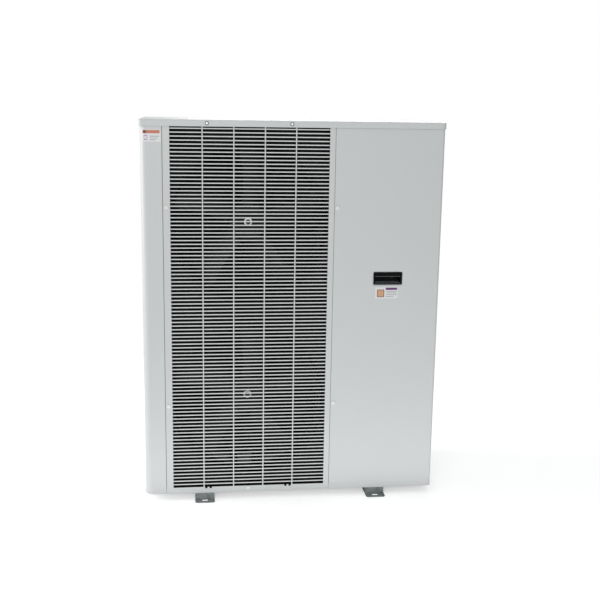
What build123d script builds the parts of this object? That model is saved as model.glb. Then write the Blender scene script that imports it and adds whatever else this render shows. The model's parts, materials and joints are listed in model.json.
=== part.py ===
from build123d import *
import os
from math import cos, pi

# Box-type air-cooled condensing unit, in millimetres.
# X runs to the right as seen from the front, Y to the back, Z up.
# The origin is on the floor, under the middle of the cabinet.

# ---- cabinet -----------------------------------------------------------------
body_depth = 420.0
machine_width = 366.0     # machine side, from the divider to the right-hand side
sheet = 1.2
panel_gap = 1.0           # shadow gap between two neighbouring front panels
panel_flange = 15.0       # how far a panel's edge is folded back
fold_radius = 2.0
fit_gap = 0.3             # between pieces that slip past each other
divider_flange = 28.0
partition_set = 5.0       # the partition stands this far on the fan side of the panel gap
past = 1.0                # a cutting shape's reach past the surface it cuts

# ---- lid ---------------------------------------------------------------------
lid_overhang = 3.5
lid_lip = 21.0
lid_corner = 14.0
lid_edge = 3.0
header_depth = 30.0

# ---- feet --------------------------------------------------------------------
foot_height = 22.0
foot_width = 67.0
foot_spacing = 596.0
foot_sheet = 2.0
foot_reach = 36.0         # floor flange beyond the cabinet, front and rear
foot_slot_width = 12.0
foot_slot_length = 22.0
foot_slot_inset = 20.0    # slot's centre from the flange's outer edge

# ---- base pan ----------------------------------------------------------------
pan_sheet = 1.5
pan_rim = 19.0
drain_radius = 12.0
drain_inset = 120.0       # drains from the left side and from the divider
drain_back = 90.0

# ---- posts -------------------------------------------------------------------
post_width = 71.25
post_corner = 26.0
post_return = 70.0
rear_post_leg = 60.0

# ---- grille panel and wire guard ---------------------------------------------
strip_left = 22.75
strip_right = 18.4
strip_bottom = 21.25
fan_cover = 6.3           # opening's side edge beyond the fan's tip
tongue_spacing = 275.0    # two tongues in the bottom strip hold the wire guard
tongue_width = 7.0
notch_width = 8.0
notch_depth = 6.0
wire_pitch = 12.5
wire_diameter = 5.0
cross_wire_diameter = 4.0
cross_wire_count = 4
cross_wire_pitch = 101.7
cross_wire_shift = 2.8    # the set of upright wires sits left of the opening's middle
wire_tuck = 5.0           # wire end's cover behind the strip
rail_width = 5.0

# ---- air slots of the rear panel ----------------------------------------------
air_slot_length = 90.0
air_slot_height = 8.0
air_slot_pitch = 26.0
air_slot_rows = 6
air_slot_gap = 30.0       # between the two columns
air_slot_drop = 120.0     # top row below the lid

# ---- coil guards at the rear and the left side -------------------------------
coil_guard_pitch = 50.0
coil_guard_wire = 5.0
rear_guard_bars = 5
side_guard_bars = 3

# ---- condenser coil ----------------------------------------------------------
coil_thickness = 32.0
coil_bend = 60.0
coil_side_gap = 11.0      # coil's outer face from the cabinet's outer face
coil_front_end = 80.0     # coil's front end from the cabinet's front
coil_past_divider = 41.0
coil_low_gap = 3.0
coil_high_gap = 12.0
header_radius = 15.0
branch_rise = 80.0        # pipe branches from the ends of the header
branch_drop = 60.0

# ---- fans --------------------------------------------------------------------
fan_radius = 254.0
fan_tip_gap = 8.0
fan_blades = 5
fan_margin = 320.0        # fan's centre from the body's lower or upper edge
fan_pitch = 610.0         # between the two fans
hub_radius = 65.0
hub_length = 58.0
hub_edge = 8.0
hub_face = 20.0
hub_setback = 110.0       # hub's front face behind the cabinet's front
hub_wall = 4.0
blade_thickness = 5.0
blade_root = 3.0          # how far a blade goes into the hub's wall
root_chord = 105.0
tip_chord = 175.0
root_pitch = 38.0
tip_pitch = 24.0
tip_sweep = 45.0
blade_camber = 14.0
shaft_radius = 6.0
shaft_play = 0.05
shaft_nose = 5.0
nut_radius = 10.0
nut_height = 8.0
washer_radius = 13.5
washer_height = 2.0
ring_depth = 95.0
ring_flare = 7.0
ring_round = 6.0
ring_lip = 3.0            # how far the ring's flange laps behind the shroud plate
shroud_setback = 20.0
shroud_clear = 3.0
motor_radius = 58.0
motor_length = 78.0
motor_gap = 5.0
motor_boss = 22.0
motor_slope = 14.0
motor_edge = 8.0
rail_section = 30.0       # motor rails: channels, open to the back
rail_leg = 20.0
rail_offset = 42.0
rail_sheet = 1.5
motor_plate_reach = 18.0
motor_plate_height = 100.0
motor_plate_corner = 6.0

# ---- compressor --------------------------------------------------------------
compressor_set = 128.0    # shell's middle from the divider
compressor_y = 20.0
compressor_radius = 84.0
compressor_height = 395.0
compressor_dome = 48.0
compressor_round = 14.0
stub_wall = 2.0
stub_length = 14.0
mount_pitch = 190.0
mount_margin = 22.0       # foot plate beyond the mounts' centres, and its corner
mount_plate = 4.0
grommet_height = 22.0
grommet_radius = 16.0
grommet_neck = 9.0
grommet_top = 6.0
mount_bolt_radius = 4.0
bolt_head = 7.5
bolt_head_height = 5.3
bolt_washer = 12.0
bolt_washer_height = 1.6
heater_width = 18.0
heater_thickness = 5.0
heater_rise = 22.0
heater_clamp = 14.0
terminal_box_size = (78.0, 46.0, 104.0)
terminal_box_rise = 190.0
terminal_box_corner = 8.0

# ---- refrigerant circuit -----------------------------------------------------
receiver_gap = 13.0       # receiver from the right-hand side
receiver_back = 98.0      # receiver's middle from the cabinet's front
receiver_radius = 55.0
receiver_height = 300.0
receiver_dome = 32.0
receiver_round = 10.0
port_x = 30.0
port_y = 14.0
port_rise = 8.0
clamp_width = 24.0
clamp_sheet = 2.0
clamp_rise = 200.0
clamp_ear = 20.0
clamp_bolt = 3.3
drier_radius = 25.0
drier_length = 140.0
drier_cone = 18.0
drier_low_z = 380.0
glass_drop = 70.0         # sight glass below the drier
glass_hex = 13.0
glass_length = 30.0
glass_boss = 11.0
glass_reach = 20.0
glass_radius = 8.0
glass_thickness = 1.4
glass_play = 0.1
liquid_tube = 6.35        # tube radii
discharge_tube = 8.0
suction_tube = 11.1
tube_bend = 28.0
liquid_bend = 20.0
valve_inset = 60.0        # valves, drier and sight glass from the right-hand side
liquid_valve_y = 20.0
liquid_valve_z = 110.0
suction_valve_y = 120.0
suction_valve_z = 130.0
liquid_bore = 6.45
suction_bore = 11.2
cup_wall = 1.6
cup_inset = 3.0           # cup's mouth behind the cabinet's side
cup_depths = 1.8          # cup's depth in tube radii
valve_half = 18.0
valve_edge = 5.0
neck_length = 13.0
neck_wall = 2.5
stem_length = 11.0
cap_length = 14.0
cap_edge = 1.5
suction_rise = 250.0      # suction line into the shell, above the foot plate
discharge_rise = 90.0     # hot gas line over the compressor
condensate_rise = 50.0
condensate_inset = 60.0   # condensate line ahead of the coil
liquid_rise = 60.0
bracket_reach = 30.0
bracket_set = 4.0
line_hole_gap = 14.0      # panel hole's edge from the tube
cable_bore = 11.0
cable_hole = 16.0
cable_y = -70.0
cable_z = 640.0
grommet_lip = 3.0
grommet_clear = 3.0

# ---- electrical --------------------------------------------------------------
box_width = 330.0
box_height = 400.0
box_depth = 90.0
box_low_z = 840.0
box_back_y = -62.0
window_margin = 3.0
knockout_radius = 11.0
knockout_pitch = 60.0
low_rail_rise = 110.0     # mounting rails above the box's floor
high_rail_rise = 290.0
rail_inset = 20.0
rail_height = 35.0
rail_depth = 8.0
breaker_size = (54.0, 66.0, 84.0)
breaker_shoulder = 16.0
breaker_set = 70.0        # devices from the box's left side
toggle_width = 30.0
toggle_radius = 9.0
toggle_reach = 8.0
toggle_thickness = 6.0
toggle_play = 0.4
toggle_sink = 4.0         # toggle's hinge line behind the breaker's face
toggle_on = 25.0          # degrees above level when switched on
controller_size = (110.0, 40.0, 86.0)
controller_set = 220.0
controller_corner = 4.0
display_size = (58.0, 34.0)
display_shift = (-9.0, 9.0)
display_sink = 2.0
contactor_size = (54.0, 70.0, 76.0)
contactor_set = 60.0
contactor_shoulder = 20.0
capacitor_radius = 22.0
capacitor_height = 90.0
capacitor_edge = 2.0
capacitor_set = 132.0
capacitor_gap = 12.0
terminal_size = (150.0, 34.0, 42.0)
terminal_count = 10
terminal_set = 240.0
terminal_slot = (2.0, 5.0)
switch_size = (52.0, 58.0, 84.0)
switch_set = 60.0         # switch's face from the cabinet's front
switch_z = 600.0
switch_edge = 4.0
sleeve_radius = 9.0
sleeve_length = 4.0
bellows_radius = 14.0
bellows_length = 18.0
button_share = 0.7        # button's height up the switch
button_radius = 5.0
button_play = 0.1
button_travel = 2.5
button_length = 12.0
button_proud = 1.5

# ---- service panel and handle ------------------------------------------------
wrap_radius = 9.0
wrap_depth = 40.0
panel_low_rise = 0.5
handle_set = 188.3        # handle's middle from the divider
handle_z = 773.0
handle_width = 99.0
handle_height = 44.0
handle_lip = 4.0
handle_rim = 1.5
handle_dish = 3.0         # width and depth of the slope pressed round the handle
handle_depth = 30.0
handle_wall = 2.5
handle_corner = 4.0
brow_height = 9.0
brow_depth = 4.0

# ---- screws ------------------------------------------------------------------
screw_head = 4.6
screw_head_height = 2.4
screw_radius = 2.0
screw_hole = 2.2
screw_length = 12.0
screw_low_z = 338.0
screw_high_z = 1012.0
screw_inset = 10.5
pan_screw_rise = 13.0
cover_screw_inset = 8.0

# ---- places that follow from the sizes ---------------------------------------
opening_width = 2 * (fan_radius + fan_cover)
fan_width = post_width + panel_gap + strip_left + opening_width + strip_right
body_width = fan_width + machine_width
body_height = 2 * fan_margin + fan_pitch    # base pan's underside to the lid's lower edge
left, right = -body_width / 2, body_width / 2
divider_x = left + fan_width                # gap between the fan side and the machine side
partition_x = divider_x - partition_set
front, back = -body_depth / 2, body_depth / 2
pan_low = foot_height
pan_floor = pan_low + pan_sheet
lip_low = pan_low + body_height
lid_top = lip_low + lid_lip
frame_top = lid_top - sheet
post_edge = left + post_width
grille_left = post_edge + panel_gap / 2
grille_right = divider_x - panel_gap / 2
open_left = grille_left + strip_left
open_right = open_left + opening_width
open_low = pan_low + strip_bottom
guard_x = (open_left + open_right) / 2
wire_y = front + sheet + wire_diameter / 2
cross_wire_y = wire_y - (wire_diameter + cross_wire_diameter) / 2 * cos(pi / 6)
guard_centre = guard_x - cross_wire_shift
fan_x = guard_x
fan_zs = {"lower": pan_low + fan_margin, "upper": lip_low - fan_margin}
hub_front = front + hub_setback
ring_radius = fan_radius + fan_tip_gap
shroud_y = front + shroud_setback
motor_front = hub_front + hub_length + motor_gap
motor_back = motor_front + motor_length
flange_y = front + panel_flange
mullion_y = flange_y + fit_gap + sheet
coil_y = back - coil_side_gap - coil_thickness / 2
coil_x = left + coil_side_gap + coil_thickness / 2
coil_low = pan_floor + coil_low_gap
coil_high = frame_top - coil_high_gap
header_x = divider_x + coil_past_divider + header_radius
box_left = divider_x
box_right = box_left + box_width
box_front = box_back_y - box_depth
box_high_z = box_low_z + box_height
rail_face = box_back_y - sheet - rail_depth
low_rail_z = box_low_z + low_rail_rise
high_rail_z = box_low_z + high_rail_rise
breaker_x = box_left + breaker_set
controller_x = box_left + controller_set
toggle_y = rail_face - breaker_size[1] + toggle_sink
switch_left = partition_x + sheet / 2
button_x = switch_left + switch_size[0] / 2
button_y = front + switch_set - sleeve_length
button_z = switch_z + switch_size[2] * button_share
panel_left = divider_x + panel_gap / 2
compressor_x = divider_x + compressor_set
shell_low = pan_floor + grommet_height + mount_plate
receiver_x = right - receiver_gap - receiver_radius
receiver_y = front + receiver_back
valve_x = right - valve_inset
glass_low = drier_low_z - glass_drop
handle_x = divider_x + handle_set
handle_seat = front + handle_dish
panel_low = pan_low + panel_low_rise
panel_high = lip_low - fit_gap
bottom_middle = (Align.CENTER, Align.CENTER, Align.MIN)


# ---- shaping tools -----------------------------------------------------------
def block(x, y, z):
    """Box from its limits along each axis."""
    size = (x[1] - x[0], y[1] - y[0], z[1] - z[0])
    middle = Pos((x[0] + x[1]) / 2, (y[0] + y[1]) / 2, (z[0] + z[1]) / 2)
    return middle * Box(*size)


def rod(radius, length, place, toward="Z"):
    """Cylinder that starts at a place and runs along +X, +Y or +Z."""
    turn = {"X": Rot(0, 90, 0), "Y": Rot(-90, 0, 0), "Z": Rot(0, 0, 0)}[toward]
    return Pos(*place) * turn * Cylinder(radius, length, align=bottom_middle)


def folded(points, radii, low, high, thickness=sheet):
    """Upright sheet, folded along a line seen from above."""
    line = FilletPolyline(*points, radius=radii)
    return Pos(0, 0, low) * extrude(trace(line, line_width=thickness), amount=high - low)


def tube(points, radius, bend=tube_bend):
    """Tube along straight runs joined by equal bends."""
    path = FilletPolyline(*points, radius=bend)
    start = Plane(origin=path @ 0, z_dir=path % 0)
    return sweep(start * Circle(radius), path=path)


def turned(points):
    """Solid of revolution about Z from (radius, height) points."""
    outline = Polyline(*[(r, 0, z) for r, z in points], close=True)
    return revolve(make_face(outline), axis=Axis.Z)


def drawn_shell(radius, height, dome, low_round):
    """Upright pressure shell on its origin: rounded foot and an elliptical head."""
    head = EllipticalCenterArc((0, height - dome), radius, dome, arc_size=90)
    sides = Polyline((0, height), (0, 0), (radius, 0), (radius, height - dome))
    shell = revolve(Plane.XZ * make_face([head, sides]), axis=Axis.Z)
    return fillet(shell.edges().sort_by(Axis.Z)[0], low_round)


def tray_sheet(x, z):
    """Front sheet with its edges folded back."""
    outer = block(x, (front, flange_y), z)
    inner_x = (x[0] + sheet, x[1] - sheet)
    inner_z = (z[0] + sheet, z[1] - sheet)
    return outer - block(inner_x, (front + sheet, flange_y + past), inner_z)


def tongue_notches():
    """Notches beside the tongues of the bottom strip, cut through strip and pan rim."""
    low, high = open_low - notch_depth, open_low + past
    cuts = []
    for side in (-1, 1):
        middle = guard_centre + side * tongue_spacing / 2
        for edge in (-1, 1):
            start = middle + edge * tongue_width / 2
            x = sorted((start, start + edge * notch_width))
            cuts.append(block(x, (front - past, front + 4 * sheet), (low, high)))
    return cuts


def pan_screw_hole():
    """Hole of the screw that holds the bottom strip to the pan."""
    return rod(screw_hole, 5 * sheet, (guard_centre, front - past, pan_low + pan_screw_rise), "Y")


def wire(diameter, length, place, toward):
    """Six-sided wire with its flats to the side it is welded on."""
    turn = {"X": Rot(0, 90, 0), "Y": Rot(-90, 0, 0) * Rot(0, 0, 90), "Z": Rot(0, 0, 0)}[toward]
    section = RegularPolygon(diameter / 2, 6)
    return Pos(*place) * turn * extrude(section, amount=length)


def cabinet_plan(inset):
    """Plan of the space inside the cabinet's outer face, with its rounded corners."""
    plan = Rectangle(body_width - 2 * inset, body_depth - 2 * inset)
    corners = plan.vertices().sort_by(Axis.X)
    post_side = corners[:2].sort_by(Axis.Y)[0]
    others = [corner for corner in corners if corner != post_side]
    plan = fillet(others, wrap_radius - inset)
    nearest = plan.vertices().sort_by_distance((left, front))[0]
    return fillet(nearest, post_corner - inset)


def above_pan(shape):
    """Notch a panel's folds where they would meet the base pan's rim."""
    room = extrude(cabinet_plan(sheet), amount=pan_rim + fit_gap + past)
    return shape - Pos(0, 0, pan_low - past) * room


# ---- base --------------------------------------------------------------------
def foot(x):
    """Folded rail across the cabinet, with a slotted floor flange at each end."""
    half = foot_width / 2
    outer = block((x - half, x + half), (front, back), (0, foot_height))
    inner_x = (x - half + foot_sheet, x + half - foot_sheet)
    inner_y = (front + foot_sheet, back - foot_sheet)
    shape = outer - block(inner_x, inner_y, (-past, foot_height - foot_sheet))
    for end in (-1, 1):
        edge = end * (body_depth / 2 + foot_reach)
        inside = end * (body_depth / 2 - past)
        flange = block((x - half, x + half), sorted((inside, edge)), (0, foot_sheet))
        outer_corners = flange.edges().filter_by(Axis.Z).group_by(Axis.Y)[0 if end < 0 else -1]
        shape += chamfer(outer_corners, foot_sheet * 3)
        slot = Pos(x, edge - end * foot_slot_inset, -past)
        shape -= slot * extrude(SlotOverall(foot_slot_length, foot_slot_width), amount=2 * foot_sheet)
    return shape


def base_pan():
    """Tray that the panels wrap, with drain holes and the compressor's bolt holes."""
    inset = sheet + fit_gap
    outer = extrude(cabinet_plan(inset), amount=pan_rim)
    inner = Pos(0, 0, pan_sheet) * extrude(cabinet_plan(inset + pan_sheet), amount=pan_rim)
    pan = Pos(0, 0, pan_low) * (outer - inner)
    for x_drain in (left + drain_inset, divider_x - drain_inset / 2):
        pan -= rod(drain_radius, pan_sheet * 3, (x_drain, back - drain_back, pan_low - pan_sheet))
    for x_bolt, y_bolt in mount_points():
        pan -= rod(mount_bolt_radius + fit_gap, pan_sheet * 3, (x_bolt, y_bolt, pan_low - pan_sheet))
    return pan - pan_screw_hole() - tongue_notches()


# ---- posts and panels --------------------------------------------------------
def front_left_post():
    """Corner post with a large rolled corner and folded-back edges."""
    x, y = left + sheet / 2, front + sheet / 2
    edge = post_edge - panel_gap / 2 - sheet / 2
    points = [(x, front + post_return), (x, y), (edge, y), (edge, flange_y)]
    return above_pan(folded(points, [post_corner - sheet / 2, fold_radius], pan_low, frame_top))


def rear_left_post():
    """Angle at the rear left corner, which carries the two coil guards."""
    x, y = left + sheet / 2, back - sheet / 2
    points = [(x, back - rear_post_leg), (x, y), (left + rear_post_leg, y)]
    return folded(points, [wrap_radius - sheet / 2], pan_low, frame_top)


def grille_panel():
    """Sheet frame round the fan opening, screwed to the post and the divider."""
    x, z = (grille_left, grille_right), (pan_low, frame_top)
    panel = above_pan(tray_sheet(x, z))
    panel -= block((open_left, open_right), (front - past, front + 2 * sheet), (open_low, lip_low + past))
    for z_screw in (screw_low_z, screw_high_z):
        panel -= rod(screw_hole, 3 * sheet, (grille_screw_x(), front - past, z_screw), "Y")
    return panel - pan_screw_hole() - tongue_notches()


def guard_wires():
    """How many wires fill the opening at the stated pitch."""
    return int((lip_low - open_low) // wire_pitch)


def wire_guard():
    """Ladder of horizontal wires between two upright rails behind the panel's strips."""
    low_x, high_x = open_left - wire_tuck, open_right + wire_tuck
    wires = []
    for step in range(guard_wires()):
        z = lip_low - (step + 0.5) * wire_pitch
        wires.append(wire(wire_diameter, high_x - low_x, (low_x, wire_y, z), "X"))
    bottom = lip_low - guard_wires() * wire_pitch
    rails = []
    for edge, side in ((low_x, -1), (high_x, 1)):
        x = sorted((edge - side, edge + side * rail_width))
        half = wire_diameter / 2
        rails.append(block(x, (wire_y - half, wire_y + half), (bottom, lip_low)))
    return Part() + wires + rails


def guard_cross_wires():
    """Upright wires on the front of the ladder."""
    length = lip_low - open_low - 2 * fit_gap
    first = guard_centre - cross_wire_pitch * (cross_wire_count - 1) / 2
    group = []
    for step in range(cross_wire_count):
        place = (first + step * cross_wire_pitch, cross_wire_y, open_low + fit_gap)
        group.append(wire(cross_wire_diameter, length, place, "Z"))
    return Compound(group)


def lid():
    """Folded cap with rounded corners, which hangs over the panels all round."""
    width, depth = body_width + 2 * lid_overhang, body_depth + 2 * lid_overhang
    cap = Pos(0, 0, lip_low) * extrude(RectangleRounded(width, depth, lid_corner), amount=lid_lip)
    cap = fillet(cap.faces().sort_by(Axis.Z)[-1].edges(), lid_edge)
    hollow = RectangleRounded(width - 2 * sheet, depth - 2 * sheet, lid_corner - sheet)
    hollow = Pos(0, 0, lip_low) * extrude(hollow, amount=lid_lip - sheet)
    return cap - fillet(hollow.faces().sort_by(Axis.Z)[-1].edges(), lid_edge - sheet)


def header_rail():
    """Folded rail across the top of the machine side, behind the lid's lip."""
    x = (divider_x + divider_flange + fit_gap, right - wrap_radius)
    y = (front + sheet, front + header_depth)
    z = (panel_high + fit_gap, frame_top)
    hollow_x = (x[0] - past, x[1] + past)
    return block(x, y, z) - block(hollow_x, (y[0] + sheet, y[1] + past), (z[0] - past, z[1] - sheet))


def partition():
    """Wall between fan side and machine side, with a front flange for the screws."""
    end = divider_x + divider_flange
    coil_face = coil_y - coil_thickness / 2
    points = [(partition_x, coil_face - coil_low_gap), (partition_x, mullion_y), (end, mullion_y)]
    wall = folded(points, [fold_radius], pan_floor, frame_top)
    for z_screw in (screw_low_z, screw_high_z):
        wall -= rod(screw_hole, 4 * sheet, (service_screw_x(), mullion_y - 2 * sheet, z_screw), "Y")
    return wall


def side_panel():
    """Right side, folded round the rear corner, with the line and cable holes."""
    x, y = right - sheet / 2, back - sheet / 2
    start = front + wrap_depth + panel_gap
    points = [(x, start), (x, y), (right - rear_post_leg, y)]
    panel = folded(points, [wrap_radius - sheet / 2], pan_low, frame_top)
    for y_hole, z_hole, radius in line_holes():
        panel -= rod(radius, 4 * sheet, (right - 3 * sheet, y_hole, z_hole), "X")
    return panel


def rear_panel():
    """Plain rear wall of the machine side, with rows of air slots."""
    x = (divider_x, right - rear_post_leg - panel_gap)
    panel = block(x, (back - sheet, back), (pan_low, frame_top))
    middle = (x[0] + x[1]) / 2
    for column in (-1, 1):
        for row in range(air_slot_rows):
            place = (
                middle + column * (air_slot_length + air_slot_gap) / 2,
                back,
                lip_low - air_slot_drop - row * air_slot_pitch)
            slot = extrude(SlotOverall(air_slot_length, air_slot_height), amount=2 * sheet, both=True)
            panel -= Pos(*place) * Rot(90, 0, 0) * slot
    return panel


def coil_guard(length, low, high, bars):
    """Welded guard in its own frame: level wires along +X through upright flat bars."""
    count = int((high - low) // coil_guard_pitch)
    first = (low + high) / 2 - (count - 1) * coil_guard_pitch / 2
    half = coil_guard_wire / 2
    pieces = [
        wire(coil_guard_wire, length, (0, 0, first + step * coil_guard_pitch), "X")
        for step in range(count)
    ]
    for step in range(bars):
        middle = half + (length - coil_guard_wire) * step / (bars - 1)
        pieces.append(block((middle - half, middle + half), (-half, half), (low, high)))
    return Part() + pieces


def coil_guards():
    """Guards over the coil's rear face and, between the two posts, over its left face."""
    return Compound([rear_guard(), side_guard()])


def rear_guard():
    start = left + rear_post_leg + fit_gap
    guard = coil_guard(divider_x - fit_gap - start, pan_low + pan_rim, frame_top, rear_guard_bars)
    return Pos(start, back - coil_guard_wire / 2, 0) * guard


def side_guard():
    start = front + post_return + fit_gap
    guard = coil_guard(back - rear_post_leg - fit_gap - start, pan_low + pan_rim, frame_top, side_guard_bars)
    return Pos(left + coil_guard_wire / 2, start, 0) * Rot(0, 0, 90) * guard


# ---- condenser ---------------------------------------------------------------
def condenser_coil():
    """Fin block bent in an L round the rear left corner."""
    points = [
        (coil_x, front + coil_front_end),
        (coil_x, coil_y),
        (divider_x + coil_past_divider, coil_y),
    ]
    return folded(points, [coil_bend], coil_low, coil_high, coil_thickness)


def coil_headers():
    """Capped upright tube at the machine end and a bare end tube at the front end."""
    length = coil_high - coil_low
    inlet = rod(header_radius, length, (header_x, coil_y, coil_low))
    end_y = front + coil_front_end - header_radius
    outlet = rod(header_radius, length, (coil_x, end_y, coil_low))
    return Compound([inlet, outlet])


# ---- fan side ----------------------------------------------------------------
def fan_ring():
    """One fan ring about its own axis: flange, rounded mouth, wall and rolled inlet edge."""
    line = FilletPolyline(
        (ring_radius + ring_flare + ring_lip, 0),
        (ring_radius, 0),
        (ring_radius, -ring_depth),
        (ring_radius + ring_flare, -ring_depth),
        radius=ring_round)
    section = Plane.XZ * trace(line, line_width=sheet)
    return revolve(section, axis=Axis.Z)


def fan_rings():
    """Both rings, flanged against the back of the shroud plate."""
    turn = Rot(90, 0, 0)
    return Compound([Pos(fan_x, shroud_y + sheet, z) * turn * fan_ring() for z in fan_zs.values()])


def fan_shroud():
    """Plate behind the guard with a round opening for each fan ring."""
    x = (grille_left + shroud_clear, partition_x - sheet)
    plate = block(x, (shroud_y - sheet / 2, shroud_y + sheet / 2), (pan_floor, frame_top))
    for z in fan_zs.values():
        plate -= rod(ring_radius + ring_flare, 4 * sheet, (fan_x, shroud_y - 2 * sheet, z), "Y")
    return plate


def blade():
    """One swept, twisted and cambered blade, trimmed to the fan's circle."""
    stations = (hub_radius - blade_root, (hub_radius + fan_radius) / 2, fan_radius)
    sections = []
    for radius in stations:
        share = (radius - stations[0]) / (stations[-1] - stations[0])
        chord = root_chord + (tip_chord - root_chord) * share
        pitch = root_pitch + (tip_pitch - root_pitch) * share
        shift = tip_sweep * share * share
        half, edge = chord / 2, blade_thickness / 4
        top = ThreePointArc((-half, edge), (0, blade_camber + blade_thickness / 2), (half, edge))
        low = ThreePointArc((half, -edge), (0, blade_camber - blade_thickness / 2), (-half, -edge))
        ends = [Line(top @ 1, low @ 0), Line(low @ 1, top @ 0)]
        face = make_face([top, ends[0], low, ends[1]])
        plane = Plane(origin=(radius, shift, -hub_length / 2), x_dir=(0, 1, 0), z_dir=(1, 0, 0))
        sections.append(plane * Rot(0, 0, pitch) * face)
    return loft(sections)


def fan():
    """Cup hub and blades in their own frame: +Z blows, origin on the hub's front face."""
    top_middle = (Align.CENTER, Align.CENTER, Align.MAX)
    hub = Cylinder(hub_radius, hub_length, align=top_middle)
    hub = fillet(hub.edges().sort_by(Axis.Z)[-1], hub_edge)
    hub -= Pos(0, 0, -hub_face) * Cylinder(hub_radius - hub_wall, hub_length, align=top_middle)
    hub -= Cylinder(shaft_radius + shaft_play, 3 * hub_length)
    one = blade() & Cylinder(fan_radius, 4 * hub_length)
    one -= Cylinder(hub_radius - hub_wall, 4 * hub_length)
    return hub + [Rot(0, 0, 360 / fan_blades * step) * one for step in range(fan_blades)]


def at_fan(shape, z):
    """Carry a shape from the fan's own frame to its place."""
    return Pos(fan_x, hub_front, z) * Rot(90, 0, 0) * shape


def fan_shaft():
    """Motor shaft, from just past the nut to inside the motor."""
    tail = hub_length + motor_gap + motor_length / 2
    nose = washer_height + nut_height + shaft_nose
    return Pos(0, 0, -tail) * Cylinder(shaft_radius, tail + nose, align=bottom_middle)


def fan_nut():
    """Hexagon nut on a wide washer."""
    washer = Cylinder(washer_radius, washer_height, align=bottom_middle)
    nut = Pos(0, 0, washer_height) * extrude(RegularPolygon(nut_radius, 6), amount=nut_height)
    return washer + nut - Cylinder(shaft_radius + shaft_play, 4 * nut_height)


def motor():
    """Round motor with a stepped front boss and a bore for the shaft."""
    low = -(hub_length + motor_gap + motor_length)
    high = -(hub_length + motor_gap)
    bore = shaft_radius + shaft_play
    bore_end = high - motor_length / 2 - 2 * past
    return turned([
        (bore, high),
        (motor_boss, high),
        (motor_radius, high - motor_slope),
        (motor_radius, low + motor_edge),
        (motor_radius - motor_edge, low),
        (0, low),
        (0, bore_end),
        (bore, bore_end),
    ])


def motor_rails():
    """Two upright channels behind the motors, from the pan to the top."""
    half, face_y = rail_section / 2, motor_back + foot_sheet
    rails = []
    for side in (-1, 1):
        x = fan_x + side * rail_offset
        outer = block((x - half, x + half), (face_y, face_y + rail_leg), (pan_floor, frame_top))
        inner_x = (x - half + rail_sheet, x + half - rail_sheet)
        inner_y = (face_y + rail_sheet, face_y + rail_leg + past)
        rails.append(outer - block(inner_x, inner_y, (0, frame_top + past)))
    return Compound(rails)


def motor_plate(z):
    """Flat plate that a motor is bolted to, across both rails."""
    half, tall = rail_offset + motor_plate_reach, motor_plate_height / 2
    plate = block((fan_x - half, fan_x + half), (motor_back, motor_back + foot_sheet), (z - tall, z + tall))
    return fillet(plate.edges().filter_by(Axis.Y), motor_plate_corner)


# ---- machine side ------------------------------------------------------------
def mount_points():
    """Centres of the compressor's four rubber mounts."""
    half = mount_pitch / 2
    return [(compressor_x + i * half, compressor_y + j * half) for i in (-1, 1) for j in (-1, 1)]


def compressor():
    """Scroll compressor: drawn shell with a domed head on a square foot plate."""
    plate_low = shell_low - mount_plate
    width = mount_pitch + 2 * mount_margin
    plate = extrude(RectangleRounded(width, width, mount_margin), amount=mount_plate)
    plate = Pos(compressor_x, compressor_y, plate_low) * plate
    for x, y in mount_points():
        plate -= rod(grommet_neck + fit_gap, 3 * mount_plate, (x, y, plate_low - mount_plate))
    shell = drawn_shell(compressor_radius, compressor_height, compressor_dome, compressor_round)
    stub_low = compressor_height - fold_radius
    shell += Pos(0, 0, stub_low) * Cylinder(discharge_tube + stub_wall, stub_length, align=bottom_middle)
    return plate + Pos(compressor_x, compressor_y, shell_low) * shell


def compressor_grommets():
    """Four waisted rubber mounts."""
    bore = mount_bolt_radius + fit_gap
    high = grommet_height + mount_plate + grommet_top
    one = turned([
        (bore, 0), (grommet_radius, 0), (grommet_radius, grommet_height),
        (grommet_neck, grommet_height), (grommet_neck, high), (bore, high),
    ])
    return Compound([Pos(x, y, pan_floor) * one for x, y in mount_points()])


def compressor_bolts():
    """Four hexagon bolts with washers, down through the mounts and the pan."""
    top = shell_low + grommet_top
    shank = rod(mount_bolt_radius, top - pan_low - fit_gap, (0, 0, pan_low + fit_gap))
    washer = rod(bolt_washer, bolt_washer_height, (0, 0, top))
    head = extrude(RegularPolygon(bolt_head, 6), amount=bolt_head_height)
    bolt = shank + washer + Pos(0, 0, top + bolt_washer_height) * head
    return Compound([Pos(x, y, 0) * bolt for x, y in mount_points()])


def crankcase_heater():
    """Belt heater round the foot of the compressor shell."""
    inner = compressor_radius + shaft_play
    ring = turned([
        (inner, 0), (inner + heater_thickness, 0),
        (inner + heater_thickness, heater_width), (inner, heater_width),
    ])
    half = heater_clamp / 2
    clamp = block((inner, inner + heater_clamp), (-half, half), (past, heater_width - past))
    ring += clamp - Cylinder(inner, 4 * heater_width)
    return Pos(compressor_x, compressor_y, shell_low + heater_rise) * Rot(0, 0, -60) * ring


def terminal_box():
    """Wiring box on the front of the compressor shell."""
    width, depth, height = terminal_box_size
    low = shell_low + terminal_box_rise
    x = (compressor_x - width / 2, compressor_x + width / 2)
    y = (compressor_y - compressor_radius - depth * 3 / 4, compressor_y - compressor_radius * 3 / 4)
    shape = block(x, y, (low, low + height))
    shape = fillet(shape.edges().filter_by(Axis.Y), terminal_box_corner)
    return shape - rod(compressor_radius + shaft_play, 2 * height, (compressor_x, compressor_y, low - height / 2))


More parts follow.
